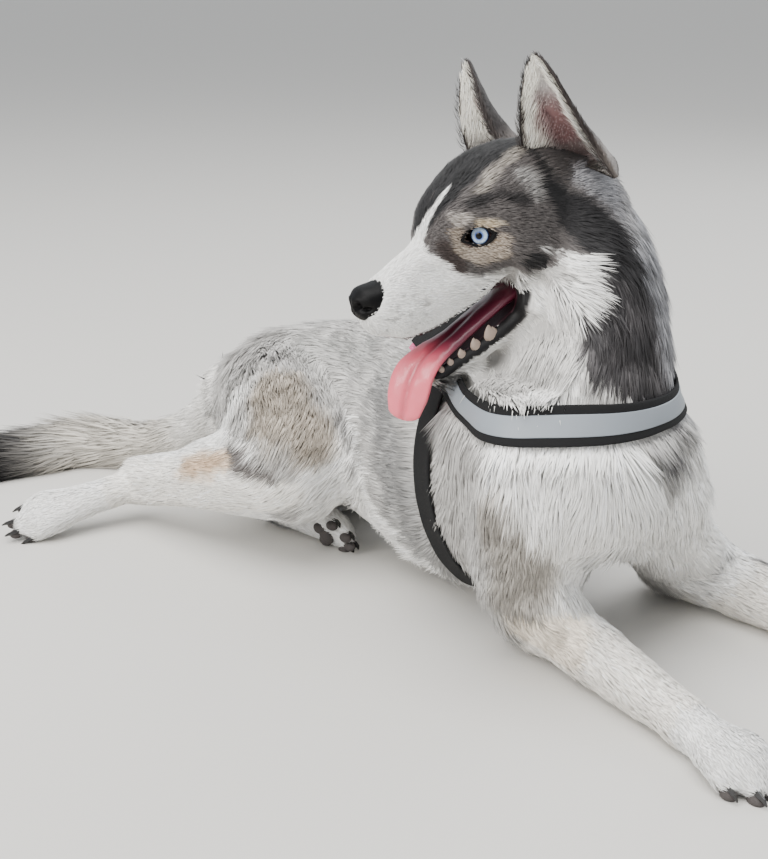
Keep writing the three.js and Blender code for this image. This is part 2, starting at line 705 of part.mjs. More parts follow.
// Ears: crescent sections from the base up to the tip. The cup opens forwards and a little outwards.
const EAR_BASE = { 1: [-47, 50, 45], [-1]: [-28, -47, 47] };
const EAR_TIP = { 1: [-25, 57, 147], [-1]: [-24, -55, 136] };
const EAR_HALF = { 1: 44, [-1]: 39 };
const EAR_OPENS = { 1: [0.9, 0.4, 0.1], [-1]: [1, -0.05, 0.1] };
function makeEar(s) {
  const base = V(EAR_BASE[s]);
  const tip = V(EAR_TIP[s]);
  const rise = tip.clone().sub(base);
  const open = V(EAR_OPENS[s]);
  open.addScaledVector(rise, -open.dot(rise) / rise.lengthSq()).normalize();
  const across = open.clone().cross(rise).normalize();
  const levels = [0, 0.14, 0.28, 0.42, 0.56, 0.68, 0.8, 0.9, 0.97];
  const arc = [-1, -0.8, -0.5, -0.17, 0.17, 0.5, 0.8, 1];
  const rings = levels.map((t) => {
    const half = EAR_HALF[s] * Math.pow(1 - t, 0.6);
    const deep = half * (0.95 - 0.55 * t);
    const wall = 4.2 - 2.2 * t;
    const centre = base.clone().addScaledVector(rise, t).addScaledVector(open, 6 * Math.sin(Math.PI * t));
    const at = (c, back) => centre.clone().addScaledVector(across, c * half).addScaledVector(open, back);
    const outer = arc.map((c) => at(c, -deep * (1 - c * c) - wall * 0.5));
    const back = [...arc].reverse().slice(1, -1);
    const inner = back.map((c) => at(c * 0.93, -deep * (1 - c * c) + wall * 0.5));
    return [...outer, ...inner];
  });
  const middle = (ring) => ring.reduce((a, q) => a.add(q), new THREE.Vector3()).divideScalar(ring.length);
  const bottom = middle(rings[0]).addScaledVector(rise, -0.02);
  const point = middle(rings.at(-1)).addScaledVector(rise, 0.03);
  return skin(rings, bottom, point);
}

// Harness: straps wrapped on the coat. A ray leaves a centre and stops at a set height over the skin.
function castOnto(distance, from, direction, height) {
  let near = 10;
  let far = 260;
  for (let i = 0; i < 30; i++) {
    const mid = (near + far) / 2;
    if (distance(from.clone().addScaledVector(direction, mid)) < height) near = mid;
    else far = mid;
  }
  return from.clone().addScaledVector(direction, near);
}

// A closed slab between two grids of points. point(side, i, j) gives the under side's or the outer side's.
function slab(point, rows, columns, closed) {
  const wrap = closed ? columns : columns - 1;
  const points = [0, 1].flatMap((side) =>
    Array.from({ length: rows * columns }, (_, n) => point(side, Math.floor(n / columns), n % columns)),
  );
  const at = (side, i, j) => side * rows * columns + i * columns + (j % columns);
  const faces = [];
  const quad = (a, b, c, d) => faces.push(a, b, c, a, c, d);
  for (let i = 0; i + 1 < rows; i++)
    for (let j = 0; j < wrap; j++) {
      quad(at(0, i, j), at(0, i, j + 1), at(0, i + 1, j + 1), at(0, i + 1, j));
      quad(at(1, i, j), at(1, i + 1, j), at(1, i + 1, j + 1), at(1, i, j + 1));
    }
  for (let j = 0; j < wrap; j++) {
    quad(at(0, 0, j), at(1, 0, j), at(1, 0, j + 1), at(0, 0, j + 1));
    quad(at(0, rows - 1, j), at(0, rows - 1, j + 1), at(1, rows - 1, j + 1), at(1, rows - 1, j));
  }
  if (!closed)
    for (let i = 0; i + 1 < rows; i++) {
      quad(at(0, i, 0), at(0, i + 1, 0), at(1, i + 1, 0), at(1, i, 0));
      quad(at(0, i, wrap), at(1, i, wrap), at(1, i + 1, wrap), at(0, i + 1, wrap));
    }
  const g = new THREE.BufferGeometry().setFromPoints(points).setIndex(faces);
  const solid = solidOf(g);
  if (solid.volume() > 0) return solid;
  for (let i = 0; i < faces.length; i += 3) [faces[i + 1], faces[i + 2]] = [faces[i + 2], faces[i + 1]];
  return solidOf(g.setIndex(faces));
}

const CHEST_RING = {
  centre: [140, -135, 224],
  normal: [-0.042, -0.245, 0.968],
  ahead: [0, -1, 0],
  lifts: [19, 18],
  width: 22,
  count: 24,
};
const GIRTH_RING = {
  centre: [105, -73, 150],
  normal: [0.5, -0.86, 0.04],
  ahead: [0, 0, 1],
  lifts: [0, 0],
  width: 26,
  count: 20,
};
const STRAP_ROWS = 3;

// A strap in a plane: turns of a ray about the centre, lifted off the plane before and behind.
function strapPoint(distance, { centre, normal, ahead, lifts, width, count }, room, height, i, j) {
  const n = V(normal).normalize();
  const x = V(ahead).addScaledVector(n, -V(ahead).dot(n)).normalize();
  const y = n.clone().cross(x);
  const a = (j / count) * 2 * Math.PI;
  const lift = lifts[0] * Math.max(0, Math.cos(a)) ** 2 + lifts[1] * Math.max(0, -Math.cos(a)) ** 2;
  const from = V(centre).addScaledVector(n, (i / (STRAP_ROWS - 1) - 0.5) * (width + 2 * room) + lift);
  const direction = x.clone().multiplyScalar(Math.cos(a)).addScaledVector(y, Math.sin(a));
  return castOnto(distance, from, direction, height);
}
function strap(distance, ring, room = 0, above = room) {
  const heights = [-WEB_SINK - room, WEB_THICK - WEB_SINK + above];
  const point = (side, i, j) => strapPoint(distance, ring, room, heights[side], i, j);
  return slab(point, STRAP_ROWS, ring.count, true);
}

// The bright strip lies on the outer face of the chest band, along the front and the sides.
const STRIP_REACH = 7; // steps of the band to each side of the front
function stripOn(distance, ring) {
  const point = (side, i, j) => {
    const turn = (j - STRIP_REACH + ring.count) % ring.count;
    const rows = [0, 1, 2].map((r) => strapPoint(distance, ring, 0, WEB_THICK - WEB_SINK, r, turn));
    const out = rows[1].clone().sub(V(ring.centre)).normalize();
    const edge = i === 1 ? rows[1] : rows[1].clone().lerp(rows[i], 0.56);
    return edge.clone().addScaledVector(out, side ? 1.7 : 0.5);
  };
  return slab(point, STRAP_ROWS, 2 * STRIP_REACH + 1, false);
}

// A patch over the withers, given by shares of the way along the back from the neck.
const SADDLE = { start: [128, -118, 160], end: [74, -6, 150] };
function patch(distance, low, high, spread, from, to, rows, columns) {
  const a = V(SADDLE.start);
  const b = V(SADDLE.end);
  const axis = b.clone().sub(a).normalize();
  const side = axis.clone().cross(V([0, 0, 1])).normalize();
  const top = side.clone().cross(axis);
  const point = (face, i, j) => {
    const t = from + ((to - from) * i) / (rows - 1);
    const angle = THREE.MathUtils.degToRad(spread * (1 - 0.25 * t * t) * ((2 * j) / (columns - 1) - 1));
    const direction = top.clone().multiplyScalar(Math.cos(angle)).addScaledVector(side, Math.sin(angle));
    return castOnto(distance, a.clone().lerp(b, t), direction, face ? high : low);
  };
  return slab(point, rows, columns, false);
}

// Materials

const COLOURS = {
  coat: ["#b9b5ae", 0.9],
  dark_coat: ["#5b544f", 0.9],
  white_coat: ["#e6e1d8", 0.9],
  tail_coat: ["#8f867b", 0.9],
  skin_dark: ["#1b1a1b", 0.45],
  ear: ["#3b3330", 0.9],
  tongue: ["#c9737c", 0.4],
  eye: ["#8fb4d6", 0.1],
  claw: ["#2f2a27", 0.5],
  webbing: ["#17181b", 0.85],
  reflective: ["#a9adb2", 0.4],
  lining: ["#d0618a", 0.85],
};

// The model

const group = new THREE.Group();
const SLIVER = 0.1; // edges left by the cuts that are shorter than this are closed up
const cleaned = (solid) => largest(solidOf(withoutShortEdges(geometryOf(largest(solid)), SLIVER)));
function add(name, solid, [colour, roughness], metalness = 0) {
  const mesh = new THREE.Mesh(
    geometryOf(cleaned(solid)),
    new THREE.MeshStandardMaterial({ color: colour, roughness, metalness }),
  );
  mesh.name = name;
  group.add(mesh);
}
const overFloor = (solid) => solid.trimByPlane([0, 0, 1], FLOOR_LEVEL);

const trunkForm = form(TORSO, { around: 18, steps: 2, cap: [0.6, 0.6] });
const legForms = Object.values(LEGS).map((leg) => [
  form(leg.upper, { up: leg.upperUp, steps: 1 }),
  form(leg.lower, { steps: 1 }),
]);
const tailForm = form(coreOf(TAIL), { cap: [0.5, 1.2], steps: 1 });
const body = fuse([trunkForm, form(NECK, NECK_LIE), tailForm, ...legForms.flat()], BODY_BLEND, 19);
const trunk = overFloor(body.solid);

const head = toWorld(makeHead());
const jaw = toWorld(makeJaw());
const tongue = toWorld(makeTongue());
const nose = toWorld(makeNose());
const paws = Object.fromEntries(Object.entries(LEGS).map(([name, leg]) => [name, pawOf(leg)]));
const pawNames = {
  right_foreleg: "right_forepaw",
  left_foreleg: "left_forepaw",
  right_hindleg: "right_hindpaw",
  left_hindleg: "left_hindpaw",
};

// Harness. The chest band lies round the base of the neck, and the girth and saddle only on the trunk.
const back = blendOf([trunkForm, ...legForms.flat()], BODY_BLEND);
const webbing = union([strap(body.distance, CHEST_RING), strap(back, GIRTH_RING)]);
const strip = cleared(stripOn(body.distance, CHEST_RING), webbing);
const lining = cleared(patch(back, 1.9, 3.1, 48, 0.5, 0.98, 4, 9), webbing, strip);
const saddlePad = cleared(patch(back, 4.7, 7.4, 44, 0.55, 0.93, 4, 9), webbing, lining, strip);
const harnessRoom = [
  strap(body.distance, CHEST_RING, 1.4, 6),
  strap(back, GIRTH_RING, 1.4, 6),
  patch(back, 0.9, 10, 51, 0.47, 1.01, 4, 9),
];

// Head and body are one solid until an oblique cut behind the ears and the jaw.
const HEAD_CUT = { normal: [0.75, 0, 0.66], at: [-58, 0, -18], half: [125, 120], long: 260 };
function headBlock(more) {
  const { normal, at, half, long } = HEAD_CUT;
  const n = V(normal).normalize();
  const y = V([0, 1, 0]);
  const turn = new THREE.Matrix4().makeBasis(y.clone().cross(n), y, n).setPosition(...at);
  const g = new THREE.BoxGeometry(2 * (half[0] + more), 2 * (half[1] + more), long + 2 * more);
  g.translate(0, 0, long / 2);
  const muzzle = solidOf(new THREE.BoxGeometry(176, 2 * half[1], 162).translate(112, 0, -31));
  return toWorld(solidOf(g.applyMatrix4(turn)).add(muzzle));
}
const pressed = minus(trunk.add(head), ...harnessRoom, webbing, lining);
const headPart = largest(pressed.intersect(headBlock(0)));
const pawClear = Object.values(paws).map((p) => swell(p.solid));
const mouthClear = [headBlock(HEAD_GAP), swell(jaw), toWorld(makeTongue(2 * HEAD_GAP))];
let rest = largest(minus(pressed, ...mouthClear, ...pawClear));

const LEG_MARGIN = 16;
const TAIL_MARGIN = 10;
const region = (leg, more) => {
  const lie = { grow: more, around: 8, steps: 1, capRings: [0.8] };
  return union([loft(leg.upper, { ...lie, up: leg.upperUp }), loft(leg.lower, lie)]);
};
const tailRegion = (more) => loft(TAIL, { cap: [0.5, 1.6], grow: more, steps: 1 });
const tailPart = largest(rest.intersect(tailRegion(TAIL_MARGIN)));
rest = largest(minus(rest, tailRegion(TAIL_MARGIN + GAP)));
add("tail", overFloor(tailPart.add(tailLocks())), COLOURS.tail_coat);
const legSolids = {};
for (const [name, leg] of Object.entries(LEGS)) {
  legSolids[name] = largest(rest.intersect(region(leg, LEG_MARGIN)));
  rest = largest(minus(rest, region(leg, LEG_MARGIN + GAP)));
}
const neckBlock = (more) => {
  const turn = new THREE.Quaternion().setFromUnitVectors(V([0, 0, 1]), V(CHEST_RING.normal).normalize());
  const g = new THREE.BoxGeometry(320, 320, 260).translate(0, 0, 130 - more).applyQuaternion(turn);
  return solidOf(g.translate(...CHEST_RING.centre));
};
add("torso", minus(rest, neckBlock(GAP)), COLOURS.coat);
add("neck", rest.intersect(neckBlock(0)), COLOURS.dark_coat);
for (const [name, solid] of Object.entries(legSolids)) add(name, solid, COLOURS.coat);

for (const [name, paw] of Object.entries(paws)) {
  const label = pawNames[name];
  add(label, overFloor(minus(paw.solid, ...paw.claws.map((c) => c.room))), COLOURS.white_coat);
  paw.claws.forEach((claw, i) => add(`${label}_claw_${i + 1}`, overFloor(claw.solid), COLOURS.claw));
}

const eyes = both((s) => toWorld(eyeBall(s)));
const ears = both((s) => toWorld(makeEar(s)));
const headSolid = cleaned(minus(headPart, toWorld(nosePad(HEAD_GAP)), toWorld(makeTongue(HEAD_GAP))));
add("head", headSolid, COLOURS.dark_coat);
const jawClear = [...[2, 3, 4, 6].map((k) => swell(headSolid, k * GAP)), toWorld(makeTongue(HEAD_GAP))];
add("lower_jaw", minus(cleared(jaw, headSolid), ...jawClear, ...harnessRoom), COLOURS.white_coat);
add("tongue", minus(tongue, ...harnessRoom), COLOURS.tongue);
add("nose", nose, COLOURS.skin_dark);
["left", "right"].forEach((side, i) => {
  add(`${side}_eye`, eyes[i], COLOURS.eye);
  add(`${side}_ear`, cleared(ears[i], headSolid), COLOURS.ear);
});

add("harness_webbing", webbing, COLOURS.webbing);
add("harness_reflective_strip", strip, COLOURS.reflective);
add("harness_saddle", saddlePad, COLOURS.webbing);
add("harness_lining", lining, COLOURS.lining);

// The origin is the middle of the footprint, on the ground.
const bounds = new THREE.Box3().setFromObject(group);
const middle = bounds.getCenter(new THREE.Vector3());
group.position.set(-middle.x, -middle.y, -bounds.min.z);

export default group;
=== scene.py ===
# A life-size Siberian husky lying on the ground with its head turned, wearing a chest harness.
# Places are in millimetres in the frame the pose was drawn in, and inMetres moves them to the model's.
import bpy
import numpy as np
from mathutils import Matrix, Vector
from mathutils.bvhtree import BVHTree


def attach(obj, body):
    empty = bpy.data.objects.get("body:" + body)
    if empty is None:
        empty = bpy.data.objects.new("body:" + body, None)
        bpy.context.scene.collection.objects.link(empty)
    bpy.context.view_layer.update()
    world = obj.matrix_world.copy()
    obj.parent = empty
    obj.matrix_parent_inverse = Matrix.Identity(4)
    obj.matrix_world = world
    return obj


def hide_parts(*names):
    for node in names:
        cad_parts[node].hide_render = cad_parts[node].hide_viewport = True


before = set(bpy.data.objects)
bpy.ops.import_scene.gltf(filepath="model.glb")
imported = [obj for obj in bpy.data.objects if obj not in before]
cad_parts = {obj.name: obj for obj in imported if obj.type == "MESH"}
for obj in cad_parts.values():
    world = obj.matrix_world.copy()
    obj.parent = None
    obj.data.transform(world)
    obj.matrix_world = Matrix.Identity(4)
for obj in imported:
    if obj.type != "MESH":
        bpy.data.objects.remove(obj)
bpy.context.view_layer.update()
rng = np.random.default_rng(11)

poseShift = np.array([52.293, 19.083, -6.0])
lowest = 6.2  # a little over the floor, in the pose frame


def inMetres(p):
    # (place + shift) / 1000
    return (np.asarray(p, float) + poseShift) * 0.001


def placed(name, data):
    # A new object of the scene
    thing = bpy.data.objects.new(name, data)
    bpy.context.scene.collection.objects.link(thing)
    return thing


# Camera, lights and floor

cameraAt = (0, -1250, 537)
cameraDown = 17.4  # degrees below level
cameraLens = 62.02  # millimetres on a sensor whose long side is 36


def makeCamera():
    data = bpy.data.cameras.new("camera")
    data.lens = cameraLens
    data.clip_end = 50
    camera = placed("camera", data)
    camera.location = inMetres(cameraAt)
    camera.rotation_euler = (np.radians(90 - cameraDown), 0, 0)
    bpy.context.scene.camera = camera


dogMiddle = Vector((0, 0, 0.15))
lights = {
    # name: place in metres, width, power, colour
    "overhead": ((-0.5, -0.6, 3.0), 3.2, 165, (1, 0.99, 0.97)),
    "front_left": ((-2.2, -2.2, 1.7), 1.8, 100, (1, 0.98, 0.95)),
    "back_right": ((2.3, 1.8, 1.8), 1.6, 40, (0.94, 0.97, 1)),
}


def makeLights():
    for name, (place, width, power, colour) in lights.items():
        data = bpy.data.lights.new(name, "AREA")
        data.size = width
        data.energy = power
        data.color = colour
        lamp = placed(name, data)
        lamp.location = place
        lamp.rotation_euler = (dogMiddle - Vector(place)).to_track_quat("-Z", "Y").to_euler()
    world = bpy.data.worlds.new("studio")
    world.use_nodes = True
    world.node_tree.nodes["Background"].inputs["Color"].default_value = (0.8, 0.83, 0.87, 1)
    world.node_tree.nodes["Background"].inputs["Strength"].default_value = 1.0
    bpy.context.scene.world = world


def makeFloor():
    half = 60.0  # metres
    mesh = bpy.data.meshes.new("floor")
    corners = [(-half, -half, 0), (half, -half, 0), (half, half, 0), (-half, half, 0)]
    mesh.from_pydata(corners, [], [(0, 1, 2, 3)])
    floor = placed("floor", mesh)
    floor.data.materials.append(plain("floor", (0.80, 0.79, 0.77), roughness=0.9))


# Materials

def linear(colour):
    # Screen values from 0 to 1 as amounts of light, by the usual screen curve
    c = np.asarray(colour, float)
    return np.where(c <= 0.04045, c / 12.92, ((c + 0.055) / 1.055) ** 2.4)


def plain(name, colour, roughness=0.6, coat=0.0, bump=None, attribute=None, specular=0.5, sheen=0.0):
    # A shader with a plain or a painted colour, and fine relief: its scale, strength and height in metres
    material = bpy.data.materials.new(name)
    material.use_nodes = True
    nodes, links = material.node_tree.nodes, material.node_tree.links
    shader = nodes["Principled BSDF"]
    shader.inputs["Base Color"].default_value = (*linear(colour), 1)
    shader.inputs["Roughness"].default_value = roughness
    shader.inputs["Coat Weight"].default_value = coat
    shader.inputs["Coat Roughness"].default_value = 0.12
    shader.inputs["Specular IOR Level"].default_value = specular
    shader.inputs["Sheen Weight"].default_value = sheen
    if attribute:
        source = nodes.new("ShaderNodeAttribute")
        source.attribute_name = attribute
        links.new(source.outputs["Color"], shader.inputs["Base Color"])
    if bump:
        scale, strength, distance = bump
        place = nodes.new("ShaderNodeTexCoord")
        noise = nodes.new("ShaderNodeTexNoise")
        noise.inputs["Scale"].default_value = scale
        noise.inputs["Detail"].default_value = 4
        links.new(place.outputs["Object"], noise.inputs["Vector"])
        relief = nodes.new("ShaderNodeBump")
        relief.inputs["Strength"].default_value = strength
        relief.inputs["Distance"].default_value = distance
        links.new(noise.outputs["Fac"], relief.inputs["Height"])
        links.new(relief.outputs["Normal"], shader.inputs["Normal"])
    return material


# Shapes as arrays of points and lists of faces

def spline(rows, s):
    # Catmull-Rom value of the rows at places s, counted in steps from row to row
    rows = np.asarray(rows, float)
    padded = np.concatenate([rows[:1] * 2 - rows[1:2], rows, rows[-1:] * 2 - rows[-2:-1]])
    i = np.clip(np.floor(s).astype(int), 0, len(rows) - 2)
    f = (s - i)[:, None]
    a, b, c, d = padded[i], padded[i + 1], padded[i + 2], padded[i + 3]
    return b + 0.5 * f * (c - a + f * (2 * a - 5 * b + 4 * c - d + f * (3 * (b - c) + d - a)))


def unit(v):
    return v / np.maximum(np.linalg.norm(v, axis=-1, keepdims=True), 1e-9)


def spineOf(sections, count, up=(0, 0, 1)):
    # Centre, tangent, side and top of count places along the sections, with half width and half height
    rows = np.array([list(s) + [0] * (6 - len(s)) for s in sections], float)
    s = np.linspace(0, len(rows) - 1, count)
    v = spline(rows, s)
    last = len(rows) - 1
    ahead, behind = np.clip(s + 1e-3, 0, last), np.clip(s - 1e-3, 0, last)
    tangent = unit(spline(rows[:, :3], ahead) - spline(rows[:, :3], behind))
    level = unit(np.cross(tangent, np.asarray(up, float)))
    upright = unit(np.cross(level, tangent))
    roll = np.radians(v[:, 5:6])
    side = level * np.cos(roll) - upright * np.sin(roll)
    top = upright * np.cos(roll) + level * np.sin(roll)
    return {"centre": v[:, :3], "tangent": tangent, "side": side, "top": top,
            "w": v[:, 3:4], "h": v[:, 4:5], "t": s / last}


def nearestOn(spine, p):
    # For each point the number of the spine's nearest place
    return ((p[:, None] - spine["centre"][None]) ** 2).sum(2).argmin(1)


def loft(sections, around=32, steps=6, up=(0, 0, 1), caps=(0.7, 0.7), squareness=None):
    # Rings of a superellipse along the spine, closed by rounded ends of cap times the end size
    spine = spineOf(sections, (len(sections) - 1) * steps + 1, up)
    w, h = spine["w"], spine["h"]
    a = np.arange(around) / around * 2 * np.pi
    n = np.full(len(w), 2.0) if squareness is None else squareness(spine["t"])
    r = (np.abs(np.cos(a))[None] ** n[:, None] + np.abs(np.sin(a))[None] ** n[:, None]) ** (-1 / n[:, None])
    rings = (spine["centre"][:, None] + spine["side"][:, None] * (w * r * np.cos(a))[:, :, None]
             + spine["top"][:, None] * (h * r * np.sin(a))[:, :, None])
    turn = np.radians([72, 54, 36, 18])

    def capped(k, cap, sign):
        reach = sign * spine["tangent"][k] * ((w[k, 0] + h[k, 0]) / 2 * cap)
        flat = rings[k] - spine["centre"][k]
        return [spine["centre"][k] + flat * np.cos(t) + reach * np.sin(t) for t in turn]

    first, final = capped(0, caps[0], -1), capped(-1, caps[1], 1)[::-1]
    rings = np.concatenate([np.array(first), rings, np.array(final)])
    reach = [(w[k, 0] + h[k, 0]) / 2 * c for k, c in ((0, caps[0]), (-1, caps[1]))]
    start = spine["centre"][0] - spine["tangent"][0] * reach[0]
    end = spine["centre"][-1] + spine["tangent"][-1] * reach[1]
    return skinned(rings, start, end)


def skinned(rings, start, end):
    # One closed surface from rings of points, with a pole at each end
    count, around = rings.shape[:2]
    points = np.concatenate([[start], rings.reshape(-1, 3), [end]])
    i, k = np.meshgrid(np.arange(count - 1), np.arange(around), indexing="ij")
    at = lambda i, k: 1 + i * around + k % around
    quads = np.stack([at(i, k), at(i, k + 1), at(i + 1, k + 1), at(i + 1, k)], -1).reshape(-1, 4)
    k = np.arange(around)
    first = np.stack([np.zeros_like(k), at(0, k + 1), at(0, k)], -1)
    final = np.stack([np.full_like(k, len(points) - 1), at(count - 1, k), at(count - 1, k + 1)], -1)
    faces = quads.tolist() + first.tolist() + final.tolist()
    return outward(points, faces)


def blend(values, share, others):
    # values + share x (others - values)
    return values + share[:, None] * (np.asarray(others, float) - values)


def outward(points, faces):
    # Turns the faces over where the volume they enclose comes out negative
    tri = np.array([f[:3] for f in faces])
    extra = np.array([[f[0], f[2], f[3]] for f in faces if len(f) == 4]).reshape(-1, 3)
    tri = np.concatenate([tri, extra])
    a, b, c = points[tri[:, 0]], points[tri[:, 1]], points[tri[:, 2]]
    if np.einsum("ij,ij->i", a, np.cross(b, c)).sum() < 0:
        faces = [f[::-1] for f in faces]
    return points, faces


def wrapped(rings):
    # A ring of sections joined to itself
    count, around = rings.shape[:2]
    i, k = np.meshgrid(np.arange(count), np.arange(around), indexing="ij")
    at = lambda i, k: (i % count) * around + k % around
    quads = np.stack([at(i, k), at(i, k + 1), at(i + 1, k + 1), at(i + 1, k)], -1).reshape(-1, 4)
    return outward(rings.reshape(-1, 3), quads.tolist())


def joined(shapes):
    # Several shapes as one, their points counted on
    points, faces, start = [], [], 0
    for p, f in shapes:
        points.append(p)
        faces += [[v + start for v in face] for face in f]
        start += len(p)
    return np.concatenate(points), faces


def meshObject(name, points, faces):
    # A smooth-shaded object, from points in millimetres of the pose frame
    mesh = bpy.data.meshes.new(name)
    mesh.from_pydata(inMetres(points).tolist(), [], faces)
    mesh.update()
    mesh.shade_smooth()
    return placed(name, mesh)


def arraysOf(mesh):
    # Points in millimetres of the pose frame and faces of a mesh
    points = np.empty(len(mesh.vertices) * 3)
    mesh.vertices.foreach_get("co", points)
    return points.reshape(-1, 3) * 1000 - poseShift, [list(f.vertices) for f in mesh.polygons]


def evaluated(thing):
    # The mesh with its modifiers applied; the object itself is deleted
    graph = bpy.context.evaluated_depsgraph_get()
    mesh = bpy.data.meshes.new_from_object(thing.evaluated_get(graph))
    old = thing.data
    bpy.data.objects.remove(thing)
    bpy.data.meshes.remove(old)
    result = arraysOf(mesh)
    bpy.data.meshes.remove(mesh)
    return result


def settle(thing):
    # The object's modifiers are applied to a new mesh of its own
    graph = bpy.context.evaluated_depsgraph_get()
    fresh = bpy.data.meshes.new_from_object(thing.evaluated_get(graph))
    old = thing.data
    thing.modifiers.clear()
    thing.data = fresh
    bpy.data.meshes.remove(old)


def addCut(thing, other):
    cut = thing.modifiers.new("cut", "BOOLEAN")
    cut.operation = "DIFFERENCE"
    cut.solver = "MANIFOLD"
    cut.object = other


def lessOf(shape, other):
    # The shape without the part that lies inside the other
    first = meshObject("first", *shape)
    second = meshObject("second", *other)
    addCut(first, second)
    result = evaluated(first)
    data = second.data
    bpy.data.objects.remove(second)
    bpy.data.meshes.remove(data)
    return result


def cadShape(*names):
    # CAD nodes as one shape, their loose triangles merged
    shapes = []
    for name in names:
        points, faces = arraysOf(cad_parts[name].data)
        _, first, where = np.unique(np.round(points, 2), axis=0, return_index=True, return_inverse=True)
        where = where.ravel()
        faces = [[int(where[v]) for v in f] for f in faces]
        shapes.append((points[first], [f for f in faces if len(set(f)) == len(f)]))
    return joined(shapes)


# Head, in its own frame: x to the nose, y to the dog's left, z up, with lengths that headScale reduces

headAt = np.array([87, -110, 342.0])
headScale = 0.9
headForward = unit(np.array([-0.884, -0.432, -0.179]))
headLeft = unit(np.cross([0, 0, 1], headForward))
headUp = np.cross(headForward, headLeft)
headAxes = np.stack([headForward, headLeft, headUp]) * headScale
headBack = np.linalg.inv(headAxes)


def bothSides(q):
    # The place with its distance to the left taken as positive
    return q * [1, 0, 1] + np.abs(q) * [0, 1, 0]


def fromHead(p):
    return headAt + np.asarray(p, float) @ headAxes


def toHead(q):
    return (np.asarray(q, float) - headAt) @ headBack


skull = [  # place along x, top, bottom, half width
    [-86, 40, -34, 34], [-64, 61, -46, 47], [-38, 72, -52, 56], [-12, 74, -54, 58], [10, 68, -52, 55],
    [26, 55, -49, 47], [39, 37, -54, 38.5], [51, 20, -60, 32], [64, 10, -65, 28.5], [82, 2, -70, 27],
    [100, -6, -71, 26], [118, -15, -68, 23.5], [131, -31, -60, 17],
]
headFeatures = [  # place, reach, push
    ([42, 31, 9], [15, 13, 12], [-2, -8, 0]),  # eye socket
    ([34, 24, 27], [12, 14, 9], [2, 2, 2]),  # brow
    ([56, 10, 6], [14, 16, 16], [-2, 0, -3]),  # stop
    ([12, 46, -10], [26, 16, 12], [0, 5, 0]),  # cheekbone
    ([-30, 52, -30], [30, 18, 24], [0, 5, -3]),  # jaw muscle
    ([104, 21, -42], [20, 10, 13], [0, 4, 0]),  # whisker pad
    ([74, 24, -14], [22, 10, 10], [0, -4, 0]),  # hollow beside the bridge
    ([20, 0, 56], [26, 5, 12], [0, 0, -2.5]),  # furrow of the forehead
]
lipCorner = [[36, 29, -41, 3], [24, 33, -37, 5], [11, 38, -37, 7], [4, 46, -42, 8], [4, 51, -51, 8],
             [9, 54, -60, 7.5], [18, 51, -68, 6.5], [28, 47, -73, 5]]
mouthRoof = [[0, 0, -56, 22, 12], [40, 0, -60, 24, 14], [70, 0, -66, 20, 16], [98, 0, -68, 17, 17],
             [114, 0, -66, 13, 14]]
jawShell = [[-34, 0, -52, 38, 26], [-4, 0, -60, 34, 20], [28, 0, -66, 29, 15], [68, 0, -67, 22, 13],
            [100, 0, -65, 17, 11.5]]
jawTrough = [[-20, 0, -42, 24, 10], [20, 0, -50, 21, 10], [60, 0, -54, 15, 9], [96, 0, -54, 10, 7]]
jawPivot = np.array([-25, 0, -30.0])
jawOpen = np.radians(22)


def sculpted(points, features):
    # Each feature moves the points near it by its push, falling off as a bell, on both sides
    moved = points.copy()
    for at, reach, push in features:
        for s in (1, -1):
            weight = 1 if at[1] else 0.5
            e2 = (((points - np.array([at[0], s * at[1], at[2]])) / reach) ** 2).sum(1)
            moved += weight * np.exp(-e2)[:, None] * np.array([push[0], s * push[1], push[2]])
    return moved


def dropped(points):
    # Turned about the joint of the jaw
    c, s = np.cos(jawOpen), np.sin(jawOpen)
    q = points - jawPivot
    return jawPivot + np.stack([c * q[:, 0] + s * q[:, 2], q[:, 1], -s * q[:, 0] + c * q[:, 2]], 1)


def undropped(points):
    # Turned back about the joint of the jaw
    c, s = np.cos(jawOpen), np.sin(jawOpen)
    q = points - jawPivot
    return jawPivot + np.stack([c * q[:, 0] - s * q[:, 2], q[:, 1], s * q[:, 0] + c * q[:, 2]], 1)


def headShape():
    # Skull and jaw as lofts, each less the mouth's hollow, and the flesh that joins them at the cheeks
    shell = loft([[x, 0, (t + b) / 2, w, (t - b) / 2] for x, t, b, w in skull], 96, 6, caps=(0.5, 0.45),
                 squareness=lambda t: 2.1 + t)
    shell = (sculpted(shell[0], headFeatures), shell[1])
    cheeks = [loft([[-40, s * 30, -26, 22, 26], [-22, s * 30, -48, 20, 24], [-8, s * 28, -66, 14, 18]],
                   32, 6, up=(0, 1, 0)) for s in (1, -1)]
    upper = lessOf(shell, loft(mouthRoof, 40, 6, caps=(0.4, 0.35)))
    lower = lessOf(loft(jawShell, 48, 6, caps=(0.4, 1.1), squareness=lambda t: 2.3 + 0 * t),
                   loft(jawTrough, 40, 6, caps=(0.4, 0.5)))
    lower = (dropped(lower[0]), lower[1])
    points, faces = joined([upper, lower, *cheeks])
    return fromHead(points), faces


# Skin

